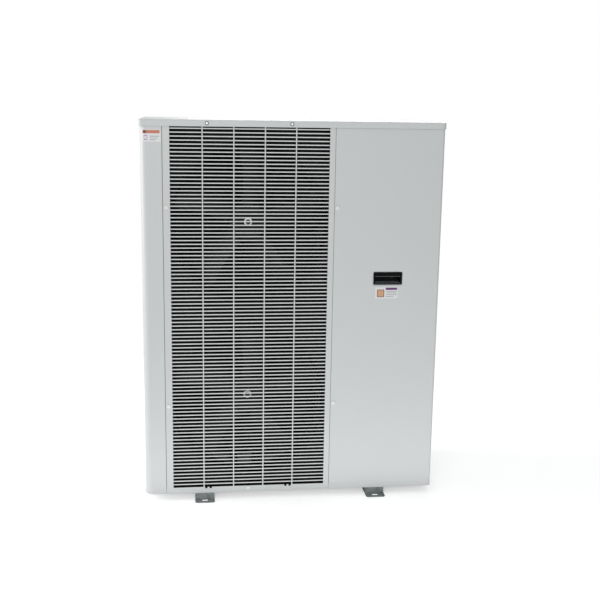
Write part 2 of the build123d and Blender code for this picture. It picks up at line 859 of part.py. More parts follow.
def receiver():
    """Upright liquid receiver with a domed head and two top ports."""
    shell = drawn_shell(receiver_radius, receiver_height, receiver_dome, receiver_round)
    ports = [
        rod(liquid_tube + stub_wall, receiver_dome, (side * port_x, -side * port_y, port_top() - receiver_dome))
        for side in (-1, 1)
    ]
    return Pos(receiver_x, receiver_y, pan_floor) * (shell + ports)


def port_top():
    """Receiver port's mouth above the receiver's foot."""
    return receiver_height + port_rise


def port_place(side):
    """Top of one of the receiver's ports."""
    return (receiver_x + side * port_x, receiver_y - side * port_y, pan_floor + port_top())


def receiver_clamp():
    """Strap round the receiver, bolted through two ears."""
    inner = receiver_radius + shaft_play
    outer = inner + clamp_sheet
    strap = turned([(inner, 0), (outer, 0), (outer, clamp_width), (inner, clamp_width)])
    half, middle = 2.5 * clamp_sheet, inner + clamp_ear / 2
    ears = block((inner, inner + clamp_ear), (-half, half), (0, clamp_width))
    ears -= Cylinder(inner, 4 * clamp_width)
    ears -= rod(clamp_bolt, 4 * half, (middle, -2 * half, clamp_width / 2), "Y")
    return Pos(receiver_x, receiver_y, pan_floor + clamp_rise) * Rot(0, 0, 135) * (strap + ears)


def filter_drier():
    """Upright drier with coned ends."""
    neck, high = liquid_tube + stub_wall, drier_length - drier_cone
    shell = turned([
        (0, 0), (neck, 0), (drier_radius, drier_cone),
        (drier_radius, high), (neck, drier_length), (0, drier_length),
    ])
    return Pos(valve_x, liquid_valve_y, drier_low_z) * shell


def sight_glass():
    """Brass fitting with a round window that faces the front."""
    middle = glass_low + glass_length / 2
    body = Pos(valve_x, liquid_valve_y, glass_low) * extrude(RegularPolygon(glass_hex, 6), amount=glass_length)
    boss = rod(glass_boss, glass_reach, (valve_x, liquid_valve_y - glass_reach, middle), "Y")
    seat = rod(glass_radius, glass_thickness, (valve_x, liquid_valve_y - glass_reach, middle), "Y")
    return body + boss - seat


def sight_window():
    """Glass disc set in the fitting."""
    place = (valve_x, liquid_valve_y - glass_reach, glass_low + glass_length / 2)
    return rod(glass_radius - glass_play, glass_thickness, place, "Y")


def valve(y, z, tube_radius, bore):
    """Angle stop valve: line in at the top, brazing cup towards the side, capped stem."""
    half = valve_half
    body = block((valve_x - half, valve_x + half), (y - half, y + half), (z - half, z + half))
    body = chamfer(body.edges().filter_by(Axis.Y), valve_edge)
    body += rod(tube_radius + neck_wall, half + neck_length, (valve_x, y, z))
    mouth = right - cup_inset
    body += rod(bore + cup_wall, mouth - valve_x, (valve_x, y, z), "X")
    body += rod(half - valve_edge, half + stem_length, (valve_x, y - half - stem_length, z), "Y")
    depth = bore * cup_depths
    return body - rod(bore, depth + past, (mouth - depth, y, z), "X")


def valve_cap(y, z):
    """Hexagon cap over the valve stem, sealing against the neck."""
    hexagon = extrude(RegularPolygon(valve_half - cup_inset, 6), amount=cap_length)
    cap = Pos(valve_x, y - valve_half - stem_length, z) * Rot(90, 0, 0) * hexagon
    return chamfer(cap.faces().sort_by(Axis.Y)[0].edges(), cap_edge)


def valve_caps():
    """Caps of the two stop valves."""
    places = [(suction_valve_y, suction_valve_z), (liquid_valve_y, liquid_valve_z)]
    return Compound([valve_cap(y, z) for y, z in places])


def valve_bracket():
    """Angle on the pan that holds both valves."""
    x = (valve_x - bracket_set, valve_x - bracket_set + 2 * pan_sheet)
    y = (liquid_valve_y - valve_half, suction_valve_y + valve_half)
    top = max(liquid_valve_z, suction_valve_z) - valve_half
    leg = block((valve_x - bracket_reach, x[1]), y, (pan_floor, pan_floor + pan_sheet))
    web = block(x, y, (pan_floor, liquid_valve_z - valve_half))
    tall = block(x, (suction_valve_y - valve_half, y[1]), (pan_floor, top))
    return leg + web + tall


def suction_pipe():
    """Suction line from its stop valve up and into the compressor shell."""
    z_top = shell_low + suction_rise
    middle = Vector(compressor_x, compressor_y, z_top)
    corner = Vector(valve_x, suction_valve_y, z_top)
    wall = middle + (corner - middle).normalized() * (compressor_radius + fit_gap)
    start = (valve_x, suction_valve_y, suction_valve_z + valve_half + neck_length)
    return tube([start, corner, wall], suction_tube)


def discharge_pipe():
    """Hot gas line from the compressor's top to the upper end of the header."""
    start_z = shell_low + compressor_height - fold_radius + stub_length
    over_z, end_z = start_z + discharge_rise, coil_high - branch_drop
    points = [
        (compressor_x, compressor_y, start_z),
        (compressor_x, compressor_y, over_z),
        (header_x, compressor_y, over_z),
        (header_x, compressor_y, end_z),
        (header_x, coil_y - header_radius - fit_gap, end_z),
    ]
    return tube(points, discharge_tube)


def condensate_pipe():
    """Liquid line from the header's foot over the compressor to the receiver."""
    high = shell_low + compressor_height + condensate_rise
    x, y, z = port_place(-1)
    pass_y = coil_y - condensate_inset
    points = [
        (header_x, coil_y - header_radius - fit_gap, coil_low + branch_rise),
        (header_x, pass_y, coil_low + branch_rise),
        (header_x, pass_y, high),
        (x, pass_y, high),
        (x, y, high),
        (x, y, z),
    ]
    return tube(points, liquid_tube, liquid_bend)


def liquid_pipe():
    """Liquid line in three runs: receiver to drier, drier to glass, glass to valve."""
    x, y, z = port_place(1)
    drier_top = drier_low_z + drier_length
    high = drier_top + liquid_rise
    over = [(x, y, z), (x, y, high), (valve_x, liquid_valve_y, high), (valve_x, liquid_valve_y, drier_top)]
    glass_top = glass_low + glass_length
    middle = rod(liquid_tube, drier_low_z - glass_top, (valve_x, liquid_valve_y, glass_top))
    low_z = liquid_valve_z + valve_half + neck_length
    lower = rod(liquid_tube, glass_low - low_z, (valve_x, liquid_valve_y, low_z))
    return Compound([tube(over, liquid_tube, liquid_bend), middle, lower])


def line_holes():
    """Side panel holes: (y, z, radius) for the suction line, liquid line and cables."""
    return [
        (suction_valve_y, suction_valve_z, suction_bore + line_hole_gap),
        (liquid_valve_y, liquid_valve_z, liquid_bore + line_hole_gap),
        (cable_y, cable_z, cable_hole),
    ]


def hole_grommet(y, z, hole_radius, bore):
    """Rubber ring clipped round the edge of a panel hole."""
    outer, depth = hole_radius + grommet_lip, sheet + past
    ring = turned([
        (bore, -2 * past), (outer, -2 * past), (outer, 0),
        (hole_radius, 0), (hole_radius, depth), (bore, depth),
    ])
    return Pos(right - sheet, y, z) * Rot(0, 90, 0) * ring


def panel_grommets():
    """Rings of the side panel's line and cable holes."""
    clear = cup_wall + grommet_clear
    bores = (suction_bore + clear, liquid_bore + clear, cable_bore)
    return Compound([hole_grommet(*hole, bore) for hole, bore in zip(line_holes(), bores)])


# ---- electrical --------------------------------------------------------------
def control_box():
    """Sheet box on the divider, open to the front, with a mounting rail inside."""
    x, z = (box_left, box_right), (box_low_z, box_high_z)
    y = (box_front + sheet, box_back_y)
    hollow_x, hollow_z = (x[0] + sheet, x[1] - sheet), (z[0] + sheet, z[1] - sheet)
    box = block(x, y, z) - block(hollow_x, (y[0] - past, y[1] - sheet), hollow_z)
    for step in (-1, 0, 1):
        place = ((x[0] + x[1]) / 2 + step * knockout_pitch, (y[0] + y[1]) / 2, z[0] - sheet)
        box -= rod(knockout_radius, 3 * sheet, place)
    rail_x = (x[0] + rail_inset, x[1] - rail_inset)
    for middle in (low_rail_z, high_rail_z):
        rail_z = (middle - rail_height / 2, middle + rail_height / 2)
        box += block(rail_x, (rail_face, y[1] - sheet), rail_z)
    return box


def on_rail(size, x_middle, z_middle):
    """Block of a device that sits on a mounting rail."""
    width, depth, height = size
    x = (x_middle - width / 2, x_middle + width / 2)
    z = (z_middle - height / 2, z_middle + height / 2)
    return block(x, (rail_face - depth, rail_face), z)


def circuit_breaker():
    """Stepped breaker body with a slot for its toggle."""
    width, depth, height = breaker_size
    body = on_rail((width, depth - breaker_shoulder, height), breaker_x, high_rail_z)
    body += on_rail((width, depth, height / 2), breaker_x, high_rail_z)
    slot = toggle_width + 2 * toggle_play
    return body - rod(toggle_radius + toggle_play, slot, (breaker_x - slot / 2, toggle_y, high_rail_z), "X")


def breaker_toggle():
    """Half-round toggle bar with a finger lever, pointing up when switched on."""
    half = toggle_width / 2
    bar = rod(toggle_radius, toggle_width, (-half, 0, 0), "X")
    reach = toggle_radius + toggle_reach
    lever = block((-half, half), (-reach, 0), (-toggle_thickness / 2, toggle_thickness / 2))
    return Pos(breaker_x, toggle_y, high_rail_z) * Rot(-toggle_on, 0, 0) * (bar + lever)


def control_box_cover():
    """Cover with a turned-back edge and windows for the breaker and the controller."""
    x = (box_left + fit_gap, box_right)
    z = (box_low_z, box_high_z)
    cover = block(x, (box_front, box_front + sheet), z)
    for width, height, middle in windows():
        window_x = (middle - width / 2, middle + width / 2)
        window_z = (high_rail_z - height / 2, high_rail_z + height / 2)
        cover -= block(window_x, (box_front - past, box_front + 2 * sheet), window_z)
    for x_screw, z_screw in cover_screw_points():
        cover -= rod(screw_hole, 3 * sheet, (x_screw, box_front - past, z_screw), "Y")
    return cover


def windows():
    """Cover windows round the breaker and the controller: (width, height, x)."""
    grow = 2 * window_margin
    breaker = (breaker_size[0] + grow, breaker_size[2] / 2 + grow, breaker_x)
    return [breaker, (controller_size[0] + grow, controller_size[2] + grow, controller_x)]


def controller():
    """Electronic controller with a sunk display, its face just behind the cover."""
    width, depth, height = controller_size
    reach = rail_face - box_front - 2 * sheet
    body = on_rail((width, reach, height), controller_x, high_rail_z)
    body = fillet(body.edges().filter_by(Axis.Y), controller_corner)
    middle_x, middle_z = controller_x + display_shift[0], high_rail_z + display_shift[1]
    half_x, half_z = display_size[0] / 2, display_size[1] / 2
    face_y = rail_face - reach
    return body - block(
        (middle_x - half_x, middle_x + half_x), (face_y - past, face_y + display_sink),
        (middle_z - half_z, middle_z + half_z))


def contactor():
    """Contactor on the lower rail, stepped towards its terminals."""
    width, depth, height = contactor_size
    x = box_left + contactor_set
    body = on_rail((width, depth - contactor_shoulder, height), x, low_rail_z)
    return body + on_rail((width, depth, height / 2), x, low_rail_z)


def run_capacitor():
    """Round run capacitor, upright on the box floor."""
    x, y = box_left + capacitor_set, box_back_y - sheet - capacitor_radius - capacitor_gap
    can = rod(capacitor_radius, capacitor_height, (x, y, box_low_z + sheet))
    return fillet(can.edges().sort_by(Axis.Z)[-1], capacitor_edge)


def terminal_block():
    """Row of clamp terminals on the lower rail."""
    width, depth, height = terminal_size
    slot_width, slot_depth = terminal_slot
    start = box_left + terminal_set - width / 2
    row = on_rail(terminal_size, box_left + terminal_set, low_rail_z)
    for step in range(1, terminal_count):
        middle = start + step * width / terminal_count
        row -= block(
            (middle - slot_width / 2, middle + slot_width / 2),
            (rail_face - depth - past, rail_face - depth + slot_depth),
            (low_rail_z - height, low_rail_z + height))
    return row


def pressure_switch():
    """Pressure control on the divider, with a sleeve for the reset button."""
    width, depth, height = switch_size
    face_y = front + switch_set
    body = block((switch_left, switch_left + width), (face_y, face_y + depth), (switch_z, switch_z + height))
    body = chamfer(body.edges().filter_by(Axis.Y), switch_edge)
    body += rod(sleeve_radius, sleeve_length, (button_x, button_y, button_z), "Y")
    body += rod(bellows_radius, bellows_length, (button_x, face_y + depth / 2, switch_z - bellows_length))
    depth = sleeve_length + button_length
    return body - rod(button_radius + button_play, depth, (button_x, button_y, button_z), "Y")


def reset_button():
    """Round push button, standing out of its sleeve by its travel."""
    place = (button_x, button_y - button_travel - button_proud, button_z)
    return rod(button_radius, button_length - button_travel, place, "Y")


# ---- service panel -----------------------------------------------------------
def service_panel():
    """Lift-off front panel of the machine side, rolled round the right corner."""
    x0, y = panel_left + sheet / 2, front + sheet / 2
    x1 = right - sheet / 2
    points = [(x0, flange_y), (x0, y), (x1, y), (x1, front + wrap_depth)]
    panel = above_pan(folded(points, [fold_radius, wrap_radius - sheet / 2], panel_low, panel_high))
    shelf_y = (front + sheet / 2, flange_y)
    shelf_low = pan_low + pan_rim + fit_gap
    for z in ((shelf_low, shelf_low + sheet), (panel_high - sheet, panel_high)):
        panel += block((x0, right - wrap_radius), shelf_y, z)
    panel += dish(sheet, handle_dish + sheet)
    panel -= dish(0, handle_dish)
    hole_x = handle_width / 2 - handle_lip + fit_gap
    hole_z = handle_height / 2 - handle_lip + fit_gap
    panel -= block(
        (handle_x - hole_x, handle_x + hole_x), (front - past, handle_seat + 2 * sheet),
        (handle_z - hole_z, handle_z + hole_z))
    for z_screw in (screw_low_z, screw_high_z):
        panel -= rod(screw_hole, 3 * sheet, (service_screw_x(), front - past, z_screw), "Y")
    return panel


def dish(grow, depth):
    """Sloped recess that runs in from the panel's face to the handle's rim."""
    plane = Plane(origin=(handle_x, front, handle_z), x_dir=(1, 0, 0), z_dir=(0, 1, 0))
    width = handle_width + 2 * (handle_dish + grow)
    height = handle_height + 2 * (handle_dish + grow)
    mouth = plane * RectangleRounded(width, height, handle_corner + handle_dish + grow)
    return extrude(mouth, amount=depth, taper=45)


def recessed_handle():
    """Moulded grip cup: rim on the dish, brow to pull on, and a pocket behind it."""
    rim = RectangleRounded(handle_width - 2 * fit_gap, handle_height - 2 * fit_gap, handle_corner)
    rim = Pos(handle_x, handle_seat, handle_z) * extrude(Plane.XZ * rim, amount=handle_rim)
    half_w = handle_width / 2 - handle_lip
    half_h = handle_height / 2 - handle_lip
    cup = block(
        (handle_x - half_w, handle_x + half_w), (handle_seat - past, front + handle_depth),
        (handle_z - half_h, handle_z + half_h))
    inner_w, inner_h = half_w - handle_wall, half_h - handle_wall
    mouth, inside = handle_seat - handle_rim, front + handle_depth - handle_wall
    brow_end = mouth + brow_depth
    profile = FilletPolyline(
        (mouth - past, inner_h - brow_height),
        (brow_end, inner_h - brow_height),
        (brow_end + brow_depth, inner_h),
        (inside, inner_h),
        (inside, -inner_h),
        (mouth - past, -inner_h),
        close=True, radius=handle_rim / 2)
    pocket = extrude(Plane.YZ * make_face(profile), amount=inner_w, both=True)
    return rim + cup - Pos(handle_x, 0, handle_z) * pocket


# ---- screws ------------------------------------------------------------------
def screw(x, y, z):
    """Pan-head screw driven towards the back, its head resting at y."""
    head = rod(screw_head, screw_head_height, (0, 0, 0))
    shank = rod(screw_radius, screw_length, (0, 0, -screw_length))
    return Pos(x, y, z) * Rot(90, 0, 0) * (head + shank)


def grille_screw_x():
    return grille_left + screw_inset


def service_screw_x():
    return panel_left + screw_inset


def panel_screws():
    """Screws of the grille panel, its bottom strip and the control box cover."""
    places = [(grille_screw_x(), front, z) for z in (screw_low_z, screw_high_z)]
    places.append((guard_centre, front, pan_low + pan_screw_rise))
    places += [(x, box_front, z) for x, z in cover_screw_points()]
    return Compound([screw(*place) for place in places])


def service_screws():
    """Captive screws of the service panel."""
    reach = (screw_low_z, screw_high_z)
    return Compound([screw(service_screw_x(), front, z) for z in reach])


def cover_screw_points():
    """Corners of the control box cover."""
    xs = (box_left + cover_screw_inset, box_right - cover_screw_inset)
    zs = (box_low_z + cover_screw_inset, box_high_z - cover_screw_inset)
    return [(x, z) for x in xs for z in zs]


parts = {
    "feet": Compound([foot(side * foot_spacing / 2) for side in (-1, 1)]),
    "base_pan": base_pan(),
    "front_left_post": front_left_post(),
    "rear_left_post": rear_left_post(),
    "grille_panel": grille_panel(),
    "wire_guard": wire_guard(),
    "guard_cross_wires": guard_cross_wires(),
    "lid": lid(),
    "header_rail": header_rail(),
    "partition": partition(),
    "side_panel": side_panel(),
    "rear_panel": rear_panel(),
    "coil_guards": coil_guards(),
    "condenser_coil": condenser_coil(),
    "coil_headers": coil_headers(),
    "fan_shroud": fan_shroud(),
    "fan_rings": fan_rings(),
    "motor_rails": motor_rails(),
    "motor_plates": Compound([motor_plate(z) for z in fan_zs.values()]),
    "compressor": compressor(),
    "compressor_grommets": compressor_grommets(),
    "compressor_bolts": compressor_bolts(),
    "crankcase_heater": crankcase_heater(),
    "compressor_terminal_box": terminal_box(),
    "liquid_receiver": receiver(),
    "receiver_clamp": receiver_clamp(),
    "filter_drier": filter_drier(),
    "sight_glass": sight_glass(),
    "sight_glass_window": sight_window(),
    "suction_valve": valve(suction_valve_y, suction_valve_z, suction_tube, suction_bore),
    "liquid_valve": valve(liquid_valve_y, liquid_valve_z, liquid_tube, liquid_bore),
    "valve_caps": valve_caps(),
    "valve_bracket": valve_bracket(),
    "suction_pipe": suction_pipe(),
    "discharge_pipe": discharge_pipe(),
    "condensate_pipe": condensate_pipe(),
    "liquid_pipe": liquid_pipe(),
    "panel_grommets": panel_grommets(),
    "control_box": control_box(),
    "control_box_cover": control_box_cover(),
    "circuit_breaker": circuit_breaker(),
    "breaker_toggle": breaker_toggle(),
    "controller": controller(),
    "contactor": contactor(),
    "run_capacitor": run_capacitor(),
    "terminal_block": terminal_block(),
    "pressure_switch": pressure_switch(),
    "reset_button": reset_button(),
    "service_panel": service_panel(),
    "recessed_handle": recessed_handle(),
    "service_screws": service_screws(),
    "panel_screws": panel_screws(),
}
for level, z in fan_zs.items():
    parts[level + "_fan"] = at_fan(fan(), z)
    parts[level + "_fan_shaft"] = at_fan(fan_shaft(), z)
    parts[level + "_fan_nut"] = at_fan(fan_nut(), z)
    parts[level + "_fan_motor"] = at_fan(motor(), z)

os.makedirs("parts", exist_ok=True)
for name, shape in parts.items():
    export_step(shape, "parts/" + name + ".step")
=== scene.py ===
import json
import math
import bmesh
import bpy
from mathutils import Matrix, Vector


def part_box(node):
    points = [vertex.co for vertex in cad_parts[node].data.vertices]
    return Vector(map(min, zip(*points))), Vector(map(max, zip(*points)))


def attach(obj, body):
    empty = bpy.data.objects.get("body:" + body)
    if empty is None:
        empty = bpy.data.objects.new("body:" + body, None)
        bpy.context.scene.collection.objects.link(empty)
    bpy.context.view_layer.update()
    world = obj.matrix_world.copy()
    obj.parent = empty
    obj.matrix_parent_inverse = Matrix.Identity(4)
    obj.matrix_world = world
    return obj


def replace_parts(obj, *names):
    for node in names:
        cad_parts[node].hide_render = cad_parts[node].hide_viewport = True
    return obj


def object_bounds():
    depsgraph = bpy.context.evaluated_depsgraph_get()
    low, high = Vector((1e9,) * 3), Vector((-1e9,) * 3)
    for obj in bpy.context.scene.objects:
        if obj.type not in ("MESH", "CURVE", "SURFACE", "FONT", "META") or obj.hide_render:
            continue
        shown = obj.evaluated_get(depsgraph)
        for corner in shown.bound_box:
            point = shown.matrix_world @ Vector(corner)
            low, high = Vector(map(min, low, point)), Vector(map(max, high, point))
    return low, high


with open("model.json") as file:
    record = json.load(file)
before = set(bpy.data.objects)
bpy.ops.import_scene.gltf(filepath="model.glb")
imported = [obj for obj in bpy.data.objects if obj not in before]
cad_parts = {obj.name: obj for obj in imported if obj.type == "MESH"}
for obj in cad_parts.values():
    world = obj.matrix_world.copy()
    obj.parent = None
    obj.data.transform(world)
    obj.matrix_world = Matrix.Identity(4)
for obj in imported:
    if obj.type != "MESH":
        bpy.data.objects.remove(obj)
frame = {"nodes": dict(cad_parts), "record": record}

cad_low, cad_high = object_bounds()

# ---- Studio ------------------------------------------------------------------
# A white sweep with an even surround and soft lamps, as for a product on paper.
# The camera stands a little left of the unit's middle and just above its lid.

scene = bpy.context.scene


def srgb(code):
    """Linear colour of a six-digit sRGB code."""
    parts = [int(code[i:i + 2], 16) / 255 for i in (0, 2, 4)]
    linear = [c / 12.92 if c <= 0.04045 else ((c + 0.055) / 1.055) ** 2.4 for c in parts]
    return (*linear, 1.0)


def add(tree, kind, links=None, **settings):
    """Add a node: settings are its own fields, links its inputs' values or sources."""
    made = tree.nodes.new(kind)
    for field, value in settings.items():
        setattr(made, field, value)
    for socket, value in (links or {}).items():
        if isinstance(value, bpy.types.NodeSocket):
            tree.links.new(value, made.inputs[socket])
        else:
            made.inputs[socket].default_value = value
    return made


def new_material(name):
    """An empty node material; returns it and its tree."""
    material = bpy.data.materials.new(name)
    material.use_nodes = True
    material.node_tree.nodes.clear()
    return material, material.node_tree


def surround(strength):
    """Even light from all round, plain white where the camera or a reflection sees it."""
    world = bpy.data.worlds.new("surround")
    world.use_nodes = True
    tree = world.node_tree
    tree.nodes.clear()
    rays = add(tree, "ShaderNodeLightPath")
    mirrored = add(tree, "ShaderNodeMath", {0: rays.outputs["Is Camera Ray"],
                                            1: rays.outputs["Is Glossy Ray"]}, operation="MAXIMUM")
    seen = add(tree, "ShaderNodeMath", {0: mirrored.outputs[0],
                                        1: rays.outputs["Is Transmission Ray"]}, operation="MAXIMUM")
    light = add(tree, "ShaderNodeBackground", {"Color": srgb("FFFFFF"), "Strength": strength})
    white = add(tree, "ShaderNodeBackground", {"Color": srgb("FFFFFF"), "Strength": 1.0})
    mix = add(tree, "ShaderNodeMixShader", {0: seen.outputs[0], 1: light.outputs[0],
                                            2: white.outputs[0]})
    add(tree, "ShaderNodeOutputWorld", {"Surface": mix.outputs[0]})
    scene.world = world


def paper_floor(glow_strength, fade_from, fade_to):
    """Matt white paper near the unit, thinning away into the white surround further off."""
    material, tree = new_material("white_paper_floor")
    rays = add(tree, "ShaderNodeLightPath")
    paper = add(tree, "ShaderNodeBsdfDiffuse", {"Color": srgb("F4F4F4")})
    glow = add(tree, "ShaderNodeEmission", {"Color": srgb("FFFFFF"), "Strength": glow_strength})
    dark = add(tree, "ShaderNodeEmission", {"Color": srgb("000000"), "Strength": 0.0})
    extra = add(tree, "ShaderNodeMixShader", {0: rays.outputs["Is Camera Ray"],
                                              1: dark.outputs[0], 2: glow.outputs[0]})
    lit = add(tree, "ShaderNodeAddShader", {0: paper.outputs[0], 1: extra.outputs[0]})
    point = add(tree, "ShaderNodeTexCoord").outputs["Object"]
    reach = add(tree, "ShaderNodeVectorMath", {0: point}, operation="LENGTH")
    fade = add(tree, "ShaderNodeMapRange", {"Value": reach.outputs["Value"],
                                            "From Min": fade_from, "From Max": fade_to},
               interpolation_type="SMOOTHSTEP")
    clear = add(tree, "ShaderNodeBsdfTransparent")
    surface = add(tree, "ShaderNodeMixShader", {0: fade.outputs["Result"], 1: lit.outputs[0],
                                                2: clear.outputs[0]})
    add(tree, "ShaderNodeOutputMaterial", {"Surface": surface.outputs[0]})
    return material


def soft_lamp(name, stand, aim, width, height, power):
    """Rectangular softbox that faces a point; sizes in metres, power in watts."""
    lamp = bpy.data.lights.new(name, "AREA")
    lamp.shape = "RECTANGLE"
    lamp.size, lamp.size_y = width, height
    lamp.energy = power
    holder = bpy.data.objects.new(name, lamp)
    holder.location = stand
    holder.rotation_euler = (Vector(aim) - Vector(stand)).to_track_quat("-Z", "Y").to_euler()
    holder.visible_camera = False
    scene.collection.objects.link(holder)


surround(strength=0.5)
floor_radius = 2.2
bpy.ops.object.select_all(action="DESELECT")
bpy.ops.mesh.primitive_circle_add(vertices=64, radius=floor_radius, fill_type="NGON")
floor = bpy.context.object
floor.name = "floor"
floor.data.materials.append(paper_floor(glow_strength=0.42, fade_from=0.9, fade_to=2.0))

# The bounce lies on the floor right at the unit's foot and shines straight up. The left
# lamp is narrow and set back, so that it lights the rolled corner and not the front.
unit_middle = (cad_low + cad_high) / 2
bounce_depth, bounce_gap, bounce_x = 0.7, 0.02, 0.3
bounce_y = cad_low.y - bounce_gap - bounce_depth / 2
soft_lamp("front_softbox", (-0.9, -4.6, 1.9), unit_middle, width=3.0, height=1.5, power=68)
soft_lamp("floor_bounce", (bounce_x, bounce_y, 0.005), (bounce_x, bounce_y, 1.0),
          width=2.0, height=bounce_depth, power=3.2)
soft_lamp("left_softbox", (-3.7, 0.45, 1.5), unit_middle, width=1.2, height=2.4, power=82)
soft_lamp("rear_softbox", (1.0, 4.6, 3.0), unit_middle, width=3.0, height=2.4, power=60)

# A grey cloth hung at the right keeps the white surround off the unit's right side.
flag_side, flag_place = 5.0, (1.9, 1.0, 1.2)
bpy.ops.mesh.primitive_plane_add(size=flag_side, location=flag_place,
                                 rotation=(0, math.radians(-90), 0))
flag = bpy.context.object
flag.name = "grey_flag"
flag_material, flag_tree = new_material("grey_cloth")
cloth = add(flag_tree, "ShaderNodeBsdfDiffuse", {"Color": srgb("B4B8B8")})
add(flag_tree, "ShaderNodeOutputMaterial", {"Surface": cloth.outputs[0]})
flag.data.materials.append(flag_material)
flag.visible_camera = flag.visible_shadow = False

camera_data = bpy.data.cameras.new("camera")
camera_data.sensor_width = 36.0
camera_data.lens = 57.51
camera = bpy.data.objects.new("camera", camera_data)
camera.location = (-0.35618, -3.34233, 1.35775)
camera.rotation_euler = [math.radians(a) for a in (78.2474, -0.8573, -6.7354)]
scene.collection.objects.link(camera)
scene.camera = camera
scene.view_settings.view_transform = "Standard"

# ---- Cabinet panels ----------------------------------------------------------
# Folded steel sheet with a satin light grey polyester powder coat. Each panel is
# the CAD sheet with its cut edges and folds eased, as a coat rounds them.

cad_nodes = frame["nodes"]
body_of = {node: body for body, nodes in frame["record"]["behaviour"]["bodies"].items()
           for node in nodes}
same_point = 0.00001


def scale_for(millimetres):
    """Texture scale at which one feature of the pattern is this many millimetres across."""
    return 1000.0 / millimetres


def powder_coat(name, code, roughness=0.42):
    """Polyester powder melted on in an oven. The eye sees an even satin that spreads the
    lamps wide, a fine orange peel of 2.4 mm, and faint clouds where the coat varies."""
    material, tree = new_material(name)
    point = add(tree, "ShaderNodeTexCoord").outputs["Object"]
    peel = add(tree, "ShaderNodeTexNoise", {"Vector": point, "Scale": scale_for(2.4),
                                            "Detail": 2.0})
    cloud = add(tree, "ShaderNodeTexNoise", {"Vector": point, "Scale": scale_for(330.0),
                                             "Detail": 3.0})
    dull = add(tree, "ShaderNodeMapRange", {"Value": cloud.outputs["Fac"],
                                            "To Min": roughness - 0.05, "To Max": roughness + 0.05})
    shade = add(tree, "ShaderNodeMapRange", {"Value": cloud.outputs["Fac"],
                                             "To Min": 0.985, "To Max": 1.015})
    tone = add(tree, "ShaderNodeHueSaturation", {"Color": srgb(code),
                                                 "Value": shade.outputs["Result"]})
    relief = add(tree, "ShaderNodeBump", {"Height": peel.outputs["Fac"], "Strength": 0.12,
                                          "Distance": 0.0002})
    shader = add(tree, "ShaderNodeBsdfPrincipled", {"Base Color": tone.outputs[0], "IOR": 1.5,
                                                    "Roughness": dull.outputs["Result"],
                                                    "Normal": relief.outputs[0]})
    add(tree, "ShaderNodeOutputMaterial", {"Surface": shader.outputs[0]})
    return material


def choose(piece):
    """Make a piece the only selected and active one."""
    bpy.ops.object.select_all(action="DESELECT")
    piece.select_set(True)
    bpy.context.view_layer.objects.active = piece


def weld(piece):
    """Join the vertices that the faces share and merge flat neighbours."""
    choose(piece)
    bpy.ops.object.mode_set(mode="EDIT")
    bpy.ops.mesh.select_all(action="SELECT")
    bpy.ops.mesh.remove_doubles(threshold=same_point)
    bpy.ops.mesh.dissolve_limited(angle_limit=math.radians(0.3))
    bpy.ops.object.mode_set(mode="OBJECT")


def smooth(turn):
    """Shade the active piece round across edges that turn by fewer degrees than this."""
    bpy.ops.object.shade_smooth_by_angle(angle=math.radians(turn))


def place(piece, material, node):
    """Paint a piece and let it ride with a CAD node's body."""
    piece.data.materials.clear()
    piece.data.materials.append(material)
    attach(piece, body_of[node])


def finished(node, material, edge=0.0, turn=32):
    """Dress a CAD piece: edges that turn by more degrees than this eased, the rest shaded round."""
    piece = bpy.data.objects.new(node + "_finished", cad_nodes[node].data.copy())
    scene.collection.objects.link(piece)
    weld(piece)
    if edge:
        ease = piece.modifiers.new("ease", "BEVEL")
        ease.width, ease.segments = edge, 2
        ease.limit_method, ease.angle_limit = "ANGLE", math.radians(turn)
        bpy.ops.object.modifier_apply(modifier="ease")
    smooth(turn)
    flat = piece.modifiers.new("flat", "WEIGHTED_NORMAL")
    flat.keep_sharp = True
    bpy.ops.object.modifier_apply(modifier="flat")
    place(piece, material, node)
    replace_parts(piece, node)
    return piece


cabinet_coat = powder_coat("light_grey_powder_coat", "C9CCCC")
for panel in ("front_left_post", "rear_left_post", "grille_panel", "service_panel",
              "side_panel", "rear_panel", "header_rail", "base_pan"):
    finished(panel, cabinet_coat, edge=0.0003)
finished("lid", cabinet_coat, edge=0.0004)

# ---- Feet --------------------------------------------------------------------
# Two folded rails of zinc-coated sheet with slotted floor flanges. The partition
# between the fans and the machinery is folded from the same sheet.

def galvanised_steel():
    """Hot-dip zinc. The eye sees a spangle of flat crystals, 9 mm across, each of a
    slightly different grey and dullness."""
    material, tree = new_material("galvanised_steel")
    point = add(tree, "ShaderNodeTexCoord").outputs["Object"]
    crystals = add(tree, "ShaderNodeTexVoronoi", {"Vector": point, "Scale": scale_for(9.0)})
    tint = add(tree, "ShaderNodeSeparateColor", {"Color": crystals.outputs["Color"]})
    tone = add(tree, "ShaderNodeMix", {"Factor": tint.outputs["Red"], "A": srgb("7D8182"),
                                       "B": srgb("979B9C")}, data_type="RGBA")
    dull = add(tree, "ShaderNodeMapRange", {"Value": tint.outputs["Green"], "To Min": 0.36,
                                            "To Max": 0.52})
    shader = add(tree, "ShaderNodeBsdfPrincipled", {"Base Color": tone.outputs["Result"],
                                                    "Metallic": 1.0,
                                                    "Roughness": dull.outputs["Result"]})
    add(tree, "ShaderNodeOutputMaterial", {"Surface": shader.outputs[0]})
    return material


zinc = galvanised_steel()
finished("feet", zinc, edge=0.0003)
finished("partition", zinc, edge=0.0002)

# ---- Wire guard --------------------------------------------------------------
# Steel wire welded in a ladder and dipped in light grey plastic. Each level wire
# is round; the upright ones lie in front and are welded on at every crossing.

